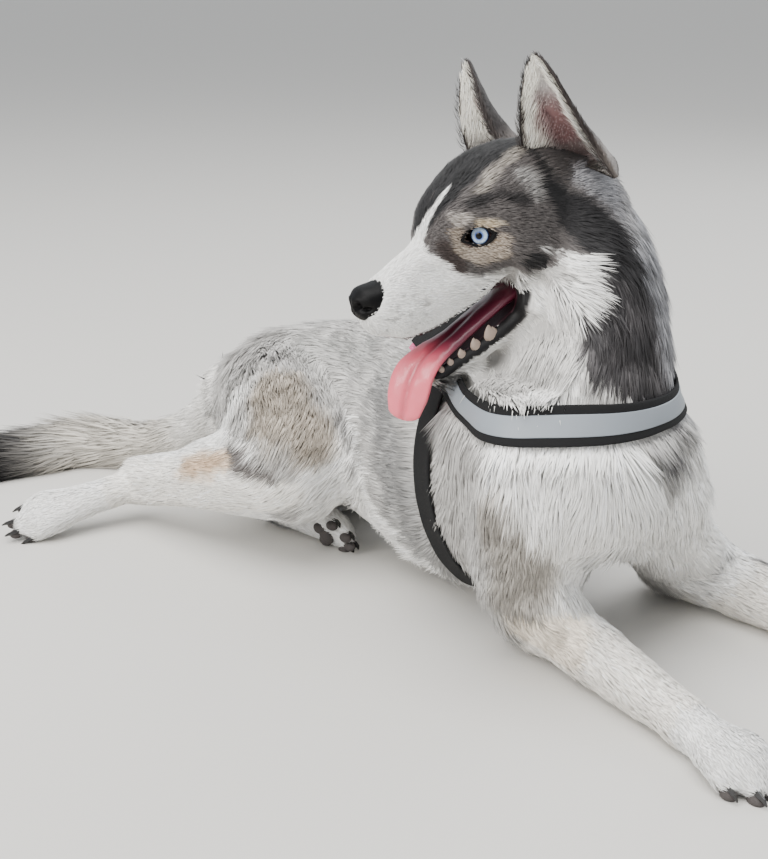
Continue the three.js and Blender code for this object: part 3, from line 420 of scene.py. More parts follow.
tail = [[-160, 252, 96, 34, 34], [-205, 278, 66, 28, 30], [-255, 305, 42, 27, 30],
        [-317, 322, 34, 28, 31], [-380, 300, 31, 27, 29], [-430, 270, 27, 22, 24],
        [-470, 246, 22, 12, 16]]
tailCore = [0.86, 0.66, 0.56, 0.54, 0.54, 0.54, 0.6]
tailSink = [0, 4, 7, 7, 7, 5, 3]
tailRoot = np.array([-184, 232, 100])
creaseAt = np.array([-184, 235, 98])
skinVoxel = 0.0026  # metres
skinTriangles = 188000
perPiece = 32000  # tufts in one piece of the coat
patchSize = 0.003  # a tuft's width on the coat's unwrap
bodyNodes = ("torso", "neck", "right_foreleg", "left_foreleg", "right_hindleg", "left_hindleg",
             "right_forepaw", "left_forepaw", "right_hindpaw", "left_hindpaw")


def remeshed(shape, voxel):
    # One closed surface of even quads round all that the shape fills
    thing = meshObject("remesh", *shape)
    grid = thing.modifiers.new("grid", "REMESH")
    grid.mode = "VOXEL"
    grid.voxel_size = voxel
    return evaluated(thing)


def makeOuterShape():
    # The body as the solids have it, with the head, mouth and tail core made finer, as one closed surface
    core = [[x, y, z - sink, w * k, h * k] for (x, y, z, w, h), k, sink in zip(tail, tailCore, tailSink)]
    face = [[-8, 0, 0, 130, 150], [200, 0, 0, 130, 150]]
    ahead = loft(face, 8, 1, caps=(0, 0), squareness=lambda t: 8 + 0 * t)
    nape = lessOf(cadShape("head"), (fromHead(ahead[0]), ahead[1]))
    shape = joined([cadShape(*bodyNodes), nape, headShape(), loft(core, 24, 6, caps=(0.5, 1.2))])
    return remeshed(shape, skinVoxel)


class Surface:
    # A surface as arrays: points, quads, their edges and the normal at each point
    def __init__(self, points, faces):
        self.points = np.asarray(points, float)
        self.faces = faces
        self.quads = np.array([f if len(f) == 4 else [*f, f[-1]] for f in faces])
        edges = np.concatenate([self.quads[:, [k, (k + 1) % 4]] for k in range(4)])
        edges = np.sort(edges[edges[:, 0] != edges[:, 1]], axis=1)
        self.edges = np.unique(edges, axis=0)
        self.degree = np.bincount(self.edges.ravel(), minlength=len(self.points)).astype(float)

    def spread(self, values):
        # The mean of each point's neighbours
        a, b = self.edges.T
        count = len(self.points)
        total = np.stack([np.bincount(a, v[b], count) + np.bincount(b, v[a], count) for v in values.T], 1)
        return total / np.maximum(self.degree, 1)[:, None]

    def smooth(self, rounds, amount):
        # Each round moves a point by its amount of the way to the mean of its neighbours
        for _ in range(rounds):
            self.points += amount[:, None] * (self.spread(self.points) - self.points)

    def normals(self):
        # Each point's normal is the sum of its faces' cross products, so large faces count more
        q = self.points[self.quads]
        n = np.cross(q[:, 2] - q[:, 0], q[:, 3] - q[:, 1])
        total = np.zeros_like(self.points)
        count = len(self.points)
        for axis in range(3):
            total[:, axis] = sum(np.bincount(self.quads[:, k], n[:, axis], count) for k in range(4))
        return unit(total)


def step(x, low, high):
    # Smooth step from 0 at low to 1 at high
    t = np.clip((x - low) / (high - low), 0, 1)
    return t * t * (3 - 2 * t)


def lattice(cells, seed):
    # A number from -1 to 1 for each whole-numbered cell, always the same for the same cell
    h = cells[..., 0] * 374761393 + cells[..., 1] * 668265263 + cells[..., 2] * 2147483647
    h = (h + seed * 974634777) & 0xFFFFFFFF
    h = ((h ^ (h >> 13)) * 1274126177) & 0xFFFFFFFF
    h = ((h ^ (h >> 15)) * 2246822519) & 0xFFFFFFFF
    return (h ^ (h >> 16)) / 2147483648.0 - 1


def noise(p, cell, seed):
    # Smooth noise from -1 to 1: the eight corners of the cell that holds the point, weighted by nearness
    q = p / cell + 1000  # all cells count up from 0
    base = np.floor(q).astype(np.int64)
    f = q - base
    f = f * f * (3 - 2 * f)
    total = 0
    for corner in np.ndindex(2, 2, 2):
        c = np.array(corner)
        weight = np.prod(np.where(c, f, 1 - f), axis=-1)
        total = total + weight * lattice(base + c, seed)
    return total


def wander(p, cell, seed):
    # Three noises as one shift, so that edges come out ragged
    return np.stack([noise(p, cell, seed + k) for k in range(3)], 1)


def lobeDistance(sections, p, up=(0, 0, 1)):
    # Distance from a loft's skin: each point against the section at the nearest place of the spine
    spine = spineOf(sections, (len(sections) - 1) * 6 + 1, up)
    nearest = nearestOn(spine, p)
    d = p - spine["centre"][nearest]
    a = (d * spine["tangent"][nearest]).sum(1)
    u = (d * spine["side"][nearest]).sum(1)
    v = (d * spine["top"][nearest]).sum(1)
    w, h = spine["w"][nearest, 0], spine["h"][nearest, 0]
    past = np.where((nearest == 0) | (nearest == len(spine["w"]) - 1), a / ((w + h) / 2) / 0.5, 0)
    e = np.maximum(1e-3, np.sqrt((u / w) ** 2 + (v / h) ** 2 + past ** 2))
    return np.sqrt(u * u + v * v + np.where(past != 0, a * a, 0)) * (1 - 1 / e)


# The coat: where it lies, how it lies and how deep

tailFlow = [[x, y, z] for x, y, z, w, h in tail]
coat = {
    # part: the line the hair follows, its length, the skin's depth, tufts for each square centimetre,
    # a tuft's width and its lift in degrees
    "torso": ([[150, -200, 165], [122, -110, 150], [82, -20, 136], [42, 60, 130], [-10, 125, 130],
               [-65, 180, 122], [-125, 225, 108]], 34, 6.5, 30, 1.6, 10),
    "neck": ([[144, -98, 366], [158, -106, 325], [160, -124, 270], [148, -140, 215], [150, -160, 165],
              [150, -190, 120]], 32, 7, 33, 1.5, 9),
    "tail": (tailFlow, 50, 0, 34, 1.8, 21),
    "right_arm": ([[108, -190, 190], [106, -212, 160], [106, -182, 95],
                   [122, -146, 42]], 24, 4.5, 30, 1.4, 10),
    "right_forearm": ([[122, -140, 40], [140, -182, 38], [174, -238, 31],
                       [212, -305, 25]], 13, 2.6, 38, 1.1, 10),
    "right_hand": ([[212, -305, 25], [253, -383, 14]], 8, 1.6, 48, 0.9, 10),
    "left_arm": ([[204, -160, 186], [214, -166, 152], [232, -110, 92],
                  [256, -40, 42]], 24, 4.5, 30, 1.4, 10),
    "left_forearm": ([[256, -34, 40], [280, -68, 38], [323, -112, 32],
                      [362, -174, 25]], 13, 2.6, 38, 1.1, 10),
    "left_hand": ([[362, -174, 25], [407, -246, 14]], 8, 1.6, 48, 0.9, 10),
    "right_thigh": ([[-108, 190, 128], [-100, 130, 124], [-88, 70, 116],
                     [-76, 22, 100]], 28, 5.5, 29, 1.5, 11),
    "right_shank": ([[-70, 24, 100], [-120, 50, 86], [-190, 100, 64],
                     [-245, 140, 48]], 15, 3, 36, 1.1, 10),
    "right_foot": ([[-245, 140, 46], [-356, 84, 21]], 8, 1.6, 46, 0.9, 10),
    "left_thigh": ([[-85, 225, 72], [-20, 220, 60], [45, 205, 50]], 26, 5, 27, 1.5, 11),
    "left_shank": ([[48, 206, 46], [-10, 182, 40], [-70, 152, 30], [-108, 134, 26]], 15, 3, 34, 1.1, 10),
    "left_foot": ([[-111, 131, 26], [-30, 48, 23]], 8, 1.6, 46, 0.9, 10),
    "head": (None, 10, 2.5, 40, 1.1, 12),
}
partNames = list(coat)
partBlend = 9  # millimetres over which one part's hair goes over into the next one's
atOnce = 8000  # points handled at a time, to save memory


def chains():
    # Places along every part's line, with the direction of the hair and the part's number
    places, ways, numbers = [], [], []
    for number, name in enumerate(partNames):
        line = coat[name][0]
        if line is None:
            continue
        line = np.array(line, float)
        s = np.linspace(0, len(line) - 1, (len(line) - 1) * 8 + 1)
        p = spline(line, s)
        places.append(p)
        ways.append(unit(np.gradient(p, axis=0)))
        numbers.append(np.full(len(p), number))
    return np.concatenate(places), np.concatenate(ways), np.concatenate(numbers)


def headWeight(p):
    # 1 on the head, 0 on the neck, across the oblique plane behind the ears and the jaw
    q = toHead(p)
    return step(q @ unit(np.array([0.75, 0, 0.66])), -75, -35) * step(q[:, 2], -125, -95)


def headFlow(q):
    # Hair leaves the nose, runs back over the face and turns down and outwards on the cheeks and throat
    side = np.sign(q[:, 1]) * step(np.abs(q[:, 1]), 0, 30)
    cheek = step(q[:, 0], 70, -20) * step(q[:, 2], 40, -40)
    crown = step(q[:, 2], 20, 50)
    outwards = 0.35 * side * (1 - 0.5 * crown)
    way = np.stack([np.full(len(q), -1.0), outwards, -0.15 - 0.75 * cheek + 0.25 * crown], 1)
    return unit(way @ headAxes)


def coatAt(p):
    # For each point: its part's number, the hair's direction, length, skin depth, density, width and lift
    places, ways, numbers = chains()
    part = np.empty(len(p), int)
    flow = np.empty_like(p)
    settings = np.array([coat[name][1:] for name in partNames], float)
    values = np.empty((len(p), settings.shape[1]))
    for start in range(0, len(p), atOnce):
        block = slice(start, start + atOnce)
        d = np.linalg.norm(p[block, None] - places[None], axis=2)
        part[block] = numbers[d.argmin(1)]
        weight = np.exp(-(d - d.min(1, keepdims=True)) / partBlend)
        weight /= weight.sum(1, keepdims=True)
        flow[block] = weight @ ways
        values[block] = weight @ settings[numbers]
    rump = (part != partNames.index("tail")) * step(np.linalg.norm(p - [-170, 255, 92], axis=1), 100, 50)
    values[:, 0] *= 1 - 0.5 * rump
    values[:, 4] *= 1 - 0.55 * rump
    base = (part == partNames.index("tail")) * step(p[:, 0], -280, -200)
    values[:, 0] *= 1 - 0.55 * base
    values[:, 4] *= 1 - 0.5 * base
    onHead = headWeight(p)
    q = toHead(p)
    face = values.copy()
    muzzle = step(q[:, 0], 45, 75)
    ruff = step(q[:, 0], 25, -30) * step(q[:, 2], 30, -30)
    crown = step(q[:, 0], 50, -20) * step(q[:, 2], 0, 50)
    under = step(q[:, 2], -78, -95)
    mouth = np.minimum(lobeDistance(mouthRoof, q), lobeDistance(jawTrough, undropped(q)))
    byLips = step(mouth, 26, 6) * step(q[:, 0], -24, -4)
    byCorner = chainMask(bothSides(q), lipCorner, 36)
    byEye = step(eyeDistance(p), 9, 1)
    face[:, 0] = (9 - 4 * muzzle + 17 * ruff + 4 * crown) * (1 - 0.35 * under)
    face[:, 0] *= (1 - 0.6 * byLips) * (1 - 0.8 * byCorner) * (1 - 0.5 * byEye)
    face[:, 1] = 2.0 - 1.1 * muzzle + 4 * ruff + 1.0 * crown
    face[:, 2] = 62 + 20 * muzzle - 26 * ruff
    face[:, 3] = 0.85 - 0.2 * muzzle + 0.55 * ruff + 0.1 * crown
    face[:, 4] = 10 + 2 * ruff
    values = blend(values, onHead, face)
    part[onHead > 0.5] = partNames.index("head")
    return part, unit(blend(flow, onHead, headFlow(q))), values


# Mouth and eyes, where no hair grows

eyeAt = np.array([29, 28, 8.6])
eyeRadius = 12.0
gaze = unit(np.array([0.66, 0.74, 0.12]))
almond = (13.0, 8.0)  # half length and half height of the opening between the lids


def eyeAxes(s):
    # Across, over and out of the eye on side s (1 is the left)
    out = gaze * [1, s, 1]
    across = unit(np.cross([0, 0, 1], out)) * s
    return across, np.cross(out, across) * s, out


def almondOutline(count, grow=0.0):
    # The lids' outline: two quadratic curves from the inner to the outer corner
    a, b = almond[0] + grow, almond[1] + grow
    t = np.linspace(0, 1, count // 2, endpoint=False)[:, None]
    curve = lambda p, q, r: (1 - t) ** 2 * np.array(p) + 2 * t * (1 - t) * np.array(q) + t * t * np.array(r)
    inner, outer = [-a, -1.5], [a, 1]
    upperLid = curve(inner, [-a * 0.2, b * 2.1], outer)
    return np.concatenate([upperLid, curve(outer, [a * 0.3, -b * 1.9], inner)])


def almondPrism(s, grow):
    # The almond drawn out along the gaze, to cut the opening between the lids
    outline = almondOutline(48, grow)
    across, over, out = eyeAxes(s)
    flat = outline[:, :1] * across + outline[:, 1:] * over + eyeAt * [1, s, 1]
    rings = np.stack([flat + out * d for d in (0, 14, 40)])
    shape = skinned(rings, rings[0].mean(0), rings[-1].mean(0))
    return fromHead(shape[0]), shape[1]


def mouthMasks(p):
    # How much each point is the inside of the mouth, and how much it is black lip
    q = toHead(p)
    upper = lobeDistance(mouthRoof, q)
    u = undropped(q)
    lower = lobeDistance(jawTrough, u)
    inUpper = step(upper, 1.6, 0.2)
    inLower = step(lower, 1.6, 0.2) * (u[:, 0] > -12)
    lipUpper = step(upper, 4.6, 3.4) * (q[:, 2] < -44)
    band = -66 + 4 * step(u[:, 0], 96, 116) + 1.2 * noise(p, 6, 33)
    lipLower = step(lower, 16, 13) * step(u[:, 2] - band, -1, 1) * (u[:, 2] < -38) * step(u[:, 0], -20, -12)
    lipLower = np.maximum(lipLower, chainMask(bothSides(q), lipCorner, 2))
    inside = np.maximum(inUpper, inLower)
    return inside, np.clip(np.maximum(lipUpper, lipLower) - inside, 0, 1)


def eyeDistance(p):
    # Distance in the eye's plane past the almond's edge, near 0 at the edge and large far from either eye
    q = toHead(p)
    best = np.full(len(p), 99.0)
    for s in (1, -1):
        across, over, out = eyeAxes(s)
        d = q - eyeAt * [1, s, 1]
        u, v, w = d @ across, d @ over, d @ out
        e = np.sqrt((u / almond[0]) ** 2 + (v / (almond[1] * 0.95)) ** 2)
        best = np.where(w > 0, np.minimum(best, (e - 1) * 9), best)
    return best


# Markings: each stroke is a chain of balls [x, y, z, radius] in the head's frame, made on both sides

black = (0.075, 0.072, 0.078)
white = (0.97, 0.965, 0.95)
greyLight = (0.73, 0.72, 0.705)
greyMid = (0.46, 0.45, 0.44)
cream = (0.93, 0.885, 0.82)
headStrokes = [
    ("mask", (0.285, 0.265, 0.26), 6,
     [[60, 10, 20, 26], [40, 30, 12, 34], [0, 45, 25, 50], [-40, 45, 30, 55], [-80, 40, 20, 60]]),
    ("nape", (0.50, 0.50, 0.525), 14,
     [[-60, 50, 42, 14], [-84, 60, 16, 20], [-90, 74, -11, 26], [-88, 96, -39, 28],
      [-84, 112, -69, 28], [-80, 122, -97, 26]]),
    ("bridge", black, 4, [[73, 3, 12, 5], [67, 6, 24, 8], [60, 9, 36, 9], [50, 10, 47, 10]]),
    ("cap_middle", black, 5, [[52, 0, 50, 8], [20, 0, 70, 12], [-20, 0, 78, 15]]),
    ("cap", black, 5,
     [[62, 12, 28, 6], [56, 14, 42, 9], [41, 16, 54, 11], [17, 16, 66, 12], [4, 8, 71, 12],
      [-20, 12, 74, 16]]),
    ("brow", (0.52, 0.485, 0.44), 5, [[34, 36, 49, 6], [12, 33, 62, 6], [-10, 24, 70, 7]]),
    ("brow_dark", (0.13, 0.12, 0.12), 6, [[47, 34, 39, 5], [22, 47, 42, 5], [6, 54, 34, 6]]),
    ("temple", (0.48, 0.47, 0.46), 8, [[0, 46, 52, 7], [-9, 54, 38, 7]]),
    ("eye_ring", (0.55, 0.485, 0.415), 4,
     [[57, 32, 18, 6], [55, 34, 3, 8], [43, 40, -8, 9], [29, 46, -4, 8], [24, 50, 5, 6]]),
    ("eye_ring_in", (0.55, 0.485, 0.415), 4, [[38, 42, 10, 13]]),
    ("eye_spot", (0.76, 0.68, 0.56), 4, [[43, 40, 21, 3.5], [34, 44, 22, 4], [24, 47, 19, 2.5]]),
    ("brow_fan", (0.60, 0.565, 0.53), 4, [[56, 26, 29, 4], [53, 31, 27, 5], [47, 36, 27, 3]]),
    ("tear_line", (0.19, 0.13, 0.115), 3, [[51, 34, 8, 3.5], [46, 37, 3, 3.5]]),
    ("inner_dark", (0.20, 0.165, 0.155), 4, [[67, 24, 8, 5], [63, 28, -6, 6], [58, 30, -14, 5]]),
    ("under_eye", (0.14, 0.13, 0.13), 4, [[44, 37, -18, 2.5], [27, 45, -18, 3], [11, 50, -19, 4]]),
    ("ear_band", black, 6,
     [[-18, 30, 66, 5], [-19, 52, 42, 6], [-36, 57, 18, 12], [-46, 72, 0, 15], [-54, 88, -14, 16]]),
    ("muzzle", white, 3.5,
     [[75, 0, 3, 11], [80, 12, -14, 18], [64, 26, -42, 20], [34, 32, -48, 23], [8, 42, -56, 26]]),
    ("muzzle_end", white, 3, [[100, 0, -20, 32], [125, 0, -35, 32]]),
    ("upper_lip", white, 3, [[104, 16, -54, 22], [72, 20, -60, 20]]),
    ("throat", white, 6,
     [[10, 30, -80, 40], [-14, 70, -72, 34], [-10, 95, -95, 26], [40, 40, -100, 40], [40, 70, -140, 50]]),
    ("cheek", white, 4, [[2, 54, -50, 16], [-14, 68, -48, 14], [-10, 90, -60, 22]]),
    ("cheek_top", white, 4,
     [[-8, 59, -6, 4], [-18, 62, -14, 7], [-27, 73, -25, 10], [-31, 87, -37, 12], [-25, 99, -54, 16],
      [-8, 108, -68, 20]]),
    ("stripe", black, 3.5, [[11, 50, -19, 4], [1, 54, -16, 8], [-7, 60, -23, 6], [-13, 65, -29, 3.5]]),
]
blaze = [[73, 2, 12, 7], [66, 7, 24, 4.5], [59, 11, 36, 3.4], [50, 11, 47, 2.2]]
neckBand = [[-36, 57, 18, 14], [-46, 74, 0, 18], [-56, 90, -20, 22], [-56, 102, -42, 24],
            [-46, 113, -60, 31], [-40, 120, -76, 35], [-52, 130, -98, 28], [-66, 142, -124, 24],
            [-76, 148, -150, 22]]
throatSpot = [[55, 44, -100, 6], [58, 57, -103, 9], [61, 70, -107, 6]]
bodyStrokes = [
    # places in the pose frame, made once
    ("nape", (0.50, 0.50, 0.525), 10,
     [[185, -118, 367, 26], [194, -125, 340, 30], [206, -132, 300, 34], [214, -138, 262, 34],
      [216, -140, 235, 30]]),
    ("chest", white, 12,
     [[110, -225, 250, 45], [130, -240, 190, 60], [150, -240, 150, 60], [170, -190, 110, 60]]),
    ("band_tuft", (0.34, 0.33, 0.335), 10,
     [[186, -226, 207, 4], [206, -210, 199, 6], [222, -194, 195, 6]]),
    ("right_arm_top", white, 10, [[118, -240, 180, 26], [125, -235, 140, 24]]),
    ("right_arm_grey", (0.60, 0.575, 0.54), 18,
     [[76, -235, 168, 16], [94, -238, 134, 23], [108, -226, 100, 26], [104, -207, 74, 20]]),
    ("right_elbow", cream, 14, [[106, -197, 45, 22], [140, -215, 45, 22]]),
    ("left_arm", white, 12, [[230, -170, 150, 45], [255, -110, 95, 45], [280, -60, 50, 40]]),
    ("left_line", greyMid, 6, [[262, -175, 130, 8], [300, -100, 75, 8], [330, -90, 50, 6]]),
    ("belly", white, 14, [[60, -90, 40, 40], [10, -30, 40, 40], [-10, 30, 40, 50]]),
    ("flank_grey", (0.49, 0.485, 0.48), 24,
     [[4, -25, 185, 20], [18, -70, 150, 28], [30, -95, 100, 32], [35, -85, 62, 26]]),
    ("back_grey", (0.61, 0.605, 0.59), 22, [[-10, 40, 205, 24], [-40, 90, 205, 22], [-70, 130, 196, 18]]),
    # painted shadow: a darker grey where the flank folds in behind the stifle
    ("flank_fold_shadow", (0.47, 0.46, 0.46), 16, [[-44, 50, 170, 7], [-32, 14, 148, 9], [-27, -8, 122, 9]]),
    ("croup", (0.42, 0.41, 0.41), 12, [[-114, 118, 190, 6], [-100, 104, 189, 5]]),
    ("haunch_tan", (0.63, 0.58, 0.515), 20,
     [[-104, 64, 176, 28], [-90, 36, 160, 30], [-66, 18, 138, 27]]),
    ("haunch_dark", (0.35, 0.325, 0.315), 14,
     [[-134, 28, 122, 8], [-118, 8, 110, 12], [-98, -4, 108, 12], [-80, -8, 104, 9]]),
    ("haunch_white", white, 10, [[-150, 95, 160, 20], [-165, 85, 130, 24], [-170, 110, 100, 24]]),
    ("flank", white, 12, [[-58, -12, 105, 14], [-45, -5, 70, 22], [0, 10, 60, 20]]),
    ("shank", (0.955, 0.94, 0.91), 8,
     [[-75, -15, 95, 16], [-130, 10, 80, 22], [-190, 70, 60, 30], [-245, 130, 45, 30]]),
    ("shank_orange", (0.80, 0.665, 0.53), 18,
     [[-142, 26, 108, 11], [-162, 46, 98, 12], [-182, 66, 88, 9]]),
]


def chainMask(p, balls, soft):
    # 1 inside the chain of balls, falling to 0 across the soft distance past their skins
    balls = np.array(balls, float)
    near = np.full(len(p), 1e9)
    if len(balls) == 1:
        balls = np.repeat(balls, 2, axis=0)
    for a, b in zip(balls[:-1], balls[1:]):
        way = b[:3] - a[:3]
        t = np.clip((p - a[:3]) @ way / max(way @ way, 1e-6), 0, 1)
        r = a[3] + (b[3] - a[3]) * t
        near = np.minimum(near, np.linalg.norm(p - a[:3] - t[:, None] * way, axis=1) - r)
    return step(near, soft * 0.5, -soft * 0.5)


def markings(p, part):
    # Colour of the coat from the place alone, with painted shadow in the flank's fold
    q = toHead(p)
    onHead = headWeight(p)
    both = bothSides(q)
    colour = np.tile(np.array(greyLight), (len(p), 1))
    names = np.array(partNames)[part]
    for limb in ("forearm", "hand", "shank", "foot"):
        here = np.char.endswith(names, limb)
        colour[here] = white if limb != "forearm" else 0.6 * np.array(white) + 0.4 * np.array(cream)
    tailHere = names == "tail"
    along = step(p[:, 0], -325, -405)
    spine = spineOf(tail, 60)
    near = nearestOn(spine, p[tailHere])
    top = np.zeros(len(p))
    over = ((p[tailHere] - spine["centre"][near]) * spine["top"][near]).sum(1)
    top[tailHere] = over / spine["h"][near, 0]
    top = step(top + 0.15 * noise(p, 14, 5), 0.3, 0.6) * step(p[:, 0], -215, -250) * tailHere
    colour[tailHere] = (0.74, 0.715, 0.67)
    colour = blend(colour, step(p[:, 0], -240, -200) * tailHere, (0.88, 0.87, 0.85))
    colour = blend(colour, top * 0.85, (0.12, 0.11, 0.115))
    colour = blend(colour, along * tailHere, black)
    ragged = p + 5 * wander(p, 9, 21)
    for _, tint, soft, balls in bodyStrokes:
        colour = blend(colour, chainMask(ragged, balls, soft) * (1 - onHead), tint)
    rough = both + 2.2 * wander(p, 5, 31)
    for _, tint, soft, balls in headStrokes:
        colour = blend(colour, chainMask(rough, balls, soft) * onHead, tint)
    depth = np.clip(0.5 + 0.5 * noise(p, 10, 36) + step(both[:, 2], -60, 10), 0, 1)
    bandPale, bandDark = np.array([0.33, 0.315, 0.32]), np.array([0.13, 0.125, 0.13])
    band = chainMask(rough, neckBand, 10) * (names != "tail")
    colour = blend(colour, band, blend(bandPale, depth, bandDark))
    colour = blend(colour, chainMask(q + 0.8 * wander(p, 4, 37), blaze, 1.6), white)
    specks = step(noise(p, 2.4, 40), 0.45, 0.7) * step(q[:, 0], 88, 100) * step(both[:, 1], 6, 12) * onHead
    colour = blend(colour, specks * 0.45, greyMid)
    return blend(colour, chainMask(q, throatSpot, 4) * 0.85, bandDark)


def makeSkin():
    # The outer shape, smoothed and moved in by the coat's depth along its normals
    points, faces = makeOuterShape()
    surface = Surface(points, faces)
    onHead = headWeight(surface.points)
    q = toHead(surface.points)
    face = onHead * step(q[:, 0], -40, 10)
    surface.smooth(14, 0.5 * (1 - 0.93 * face))
    rumpEnd = step(np.linalg.norm(surface.points - tailRoot, axis=1), 52, 22)
    surface.smooth(50, 0.5 * rumpEnd)
    surface.smooth(3, np.full(len(points), 0.35))
    _, _, values = coatAt(surface.points)
    inside, lip = mouthMasks(surface.points)
    depth = values[:, 1] * (1 - np.maximum(inside, lip))
    depth = np.minimum(depth, 2 + 0.6 * np.maximum(surface.points[:, 2] - 6, 0))
    surface.points = surface.points - depth[:, None] * surface.normals()
    surface.smooth(2, np.full(len(points), 0.3))
    surface.points[:, 2] = np.maximum(surface.points[:, 2], lowest)
    return surface


makeCamera()
makeLights()
makeFloor()
print("stage made")
surface = makeSkin()
print("skin", len(surface.points), "points")


# Tufts

def triangles(surface):
    # Both halves of every quad
    q = surface.quads
    return np.concatenate([q[:, [0, 1, 2]], q[:, [0, 2, 3]]])


def scatter(surface, part, flow, values, bare, extra=None):
    # Each triangle gets roots in proportion to its area and the coat's density there
    tri = triangles(surface)
    tri = tri[tri[:, 1] != tri[:, 2]]
    a, b, c = surface.points[tri[:, 0]], surface.points[tri[:, 1]], surface.points[tri[:, 2]]
    area = np.linalg.norm(np.cross(b - a, c - a), axis=1) / 200
    density = (values[:, 2] * (1 - bare))[tri].mean(1)
    want = area * density * 1
    count = np.floor(want + rng.random(len(want))).astype(int)
    owner = np.repeat(np.arange(len(tri)), count)
    u, v = rng.random(len(owner)), rng.random(len(owner))
    flip = u + v > 1
    u, v = np.where(flip, 1 - u, u), np.where(flip, 1 - v, v)
    w = np.stack([1 - u - v, u, v], 1)
    mix = lambda field: (field[tri[owner]] * w[:, :, None]).sum(1)
    normal = surface.normals()
    root = mix(surface.points)
    return {"root": root, "normal": unit(mix(normal)), "flow": mix(flow), "values": mix(values),
            "part": part[tri[owner, 0]], "extra": None if extra is None else mix(extra)}


def tuftFaces(count):
    # The six triangles of every tuft
    pattern = np.array([[0, 2, 1], [0, 1, 3], [0, 3, 2], [4, 1, 2], [4, 3, 1], [4, 2, 3]])
    return (pattern[None] + 5 * np.arange(count)[:, None, None]).reshape(-1, 3)


def tuftShapes(roots, colour):
    # Five points a tuft: the root, a three-cornered ring over a third of the way along, and the tip
    n, p = roots["normal"], roots["root"]
    length, width, lift = roots["values"][:, 0], roots["values"][:, 3], np.radians(roots["values"][:, 4])
    way = roots["flow"] - (roots["flow"] * n).sum(1, keepdims=True) * n
    way = unit(way)
    side = np.cross(n, way)
    locks = noise(p, 9, 41)
    swing = 0.2 * noise(p, 18, 42) + 0.16 * noise(p, 7, 43) + rng.normal(0, 0.08, len(p))
    way = way * np.cos(swing)[:, None] + side * np.sin(swing)[:, None]
    side = np.cross(n, way)
    lift = lift * (1 + 0.3 * locks + rng.normal(0, 0.15, len(p)))
    length = length * (1 + 0.22 * noise(p, 11, 44)) * rng.uniform(0.75, 1.2, len(p))
    width = width * rng.uniform(0.75, 1.25, len(p))
    rise = unit(way * np.cos(lift * 1.5)[:, None] + n * np.sin(lift * 1.5)[:, None])
    fall = unit(way * np.cos(lift * 0.55)[:, None] + n * np.sin(lift * 0.55)[:, None])
    middle = p + rise * (length * 0.38)[:, None]
    tip = middle + fall * (length * 0.62)[:, None]
    root = p - n * 0.6
    half = (width / 2)[:, None]
    up = np.cross(rise, side)
    up *= np.sign((up * n).sum(1, keepdims=True))
    points = np.stack([root, middle - side * half, middle + side * half, middle + up * half * 0.7, tip], 1)
    points[:, :, 2] = np.maximum(points[:, :, 2], lowest)
    lean = np.stack([n, unit(n - 0.55 * side), unit(n + 0.55 * side), n, unit(n + 0.5 * way)], 1)
    dark = noise(p, 4, 51) * 0.5 + rng.uniform(-0.5, 0.5, len(p))
    pepper = np.clip(1 - np.abs(colour.mean(1) - 0.5) / 0.36, 0, 1)
    base = colour * (1 + 0.05 * rng.normal(size=(len(p), 1)))
    pale = blend(base, pepper * 0.3, white)
    deep = base * (1 - pepper * (0.3 + 0.4 * dark))[:, None]
    # Each tuft's root is painted 7% darker than its colour: painted shade down among the hairs
    shade = np.stack([base * 0.93, pale, pale, pale, deep], 1)
    return points.reshape(-1, 3), lean.reshape(-1, 3), np.clip(shade, 0.01, 1).reshape(-1, 3)


def atlas(p, n, part):
    # An unwrap of the skin: each part seen along the axis it faces most, each view in a cell of its own
    axis = np.abs(n).argmax(1)
    face = axis * 2 + (n[np.arange(len(n)), axis] > 0)
    cell = part * 6 + face
    columns = 10
    u = np.take_along_axis(p, ((axis + 1) % 3)[:, None], 1)[:, 0]
    v = np.take_along_axis(p, ((axis + 2) % 3)[:, None], 1)[:, 0]
    out = np.empty((len(p), 2))
    for c in np.unique(cell):
        here = cell == c
        low = np.array([u[here].min(), v[here].min()])
        size = max(u[here].max() - low[0], v[here].max() - low[1], 1)
        flat = (np.stack([u[here], v[here]], 1) - low) / size
        out[here] = (np.array([c % columns, c // columns]) + 0.03 + 0.94 * flat) / columns
    return out


def painted(mesh, colour):
    # Each point's colour as the attribute that the materials read
    paint = mesh.attributes.new("coat", "FLOAT_COLOR", "POINT")
    rgba = np.concatenate([linear(np.clip(colour, 0, 1)), np.ones((len(colour), 1))], 1)
    paint.data.foreach_set("color", rgba.astype(np.float32).ravel())


furMaterial = plain("fur", (0.6, 0.6, 0.6), roughness=0.62, attribute="coat", specular=0.28, sheen=0.15)


def tuftObject(name, shape, patch):
    # One mesh of tufts, with their normals, colours and places on the unwrap
    points, lean, shade = shape
    faces = tuftFaces(len(patch))
    mesh = bpy.data.meshes.new(name)
    mesh.vertices.add(len(points))
    mesh.vertices.foreach_set("co", inMetres(points).ravel())
    mesh.loops.add(faces.size)
    mesh.loops.foreach_set("vertex_index", faces.ravel().astype(np.int32))
    mesh.polygons.add(len(faces))
    mesh.polygons.foreach_set("loop_start", np.arange(0, faces.size, 3, dtype=np.int32))
    mesh.update()
    painted(mesh, shade)
    corner = np.array([[0, -0.5], [-0.5, 0], [0.5, 0], [0, 0.2], [0, 0.5]]) * patchSize
    uv = mesh.uv_layers.new(name="OFBake")
    spot = np.repeat(patch, 5, axis=0) + np.tile(corner, (len(patch), 1))
    uv.data.foreach_set("uv", spot[faces.ravel()].astype(np.float32).ravel())
    mesh.shade_smooth()
    mesh.normals_split_custom_set_from_vertices(lean.tolist())
    mesh.materials.append(furMaterial)
    thing = placed(name, mesh)
    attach(thing, "root")
    return thing


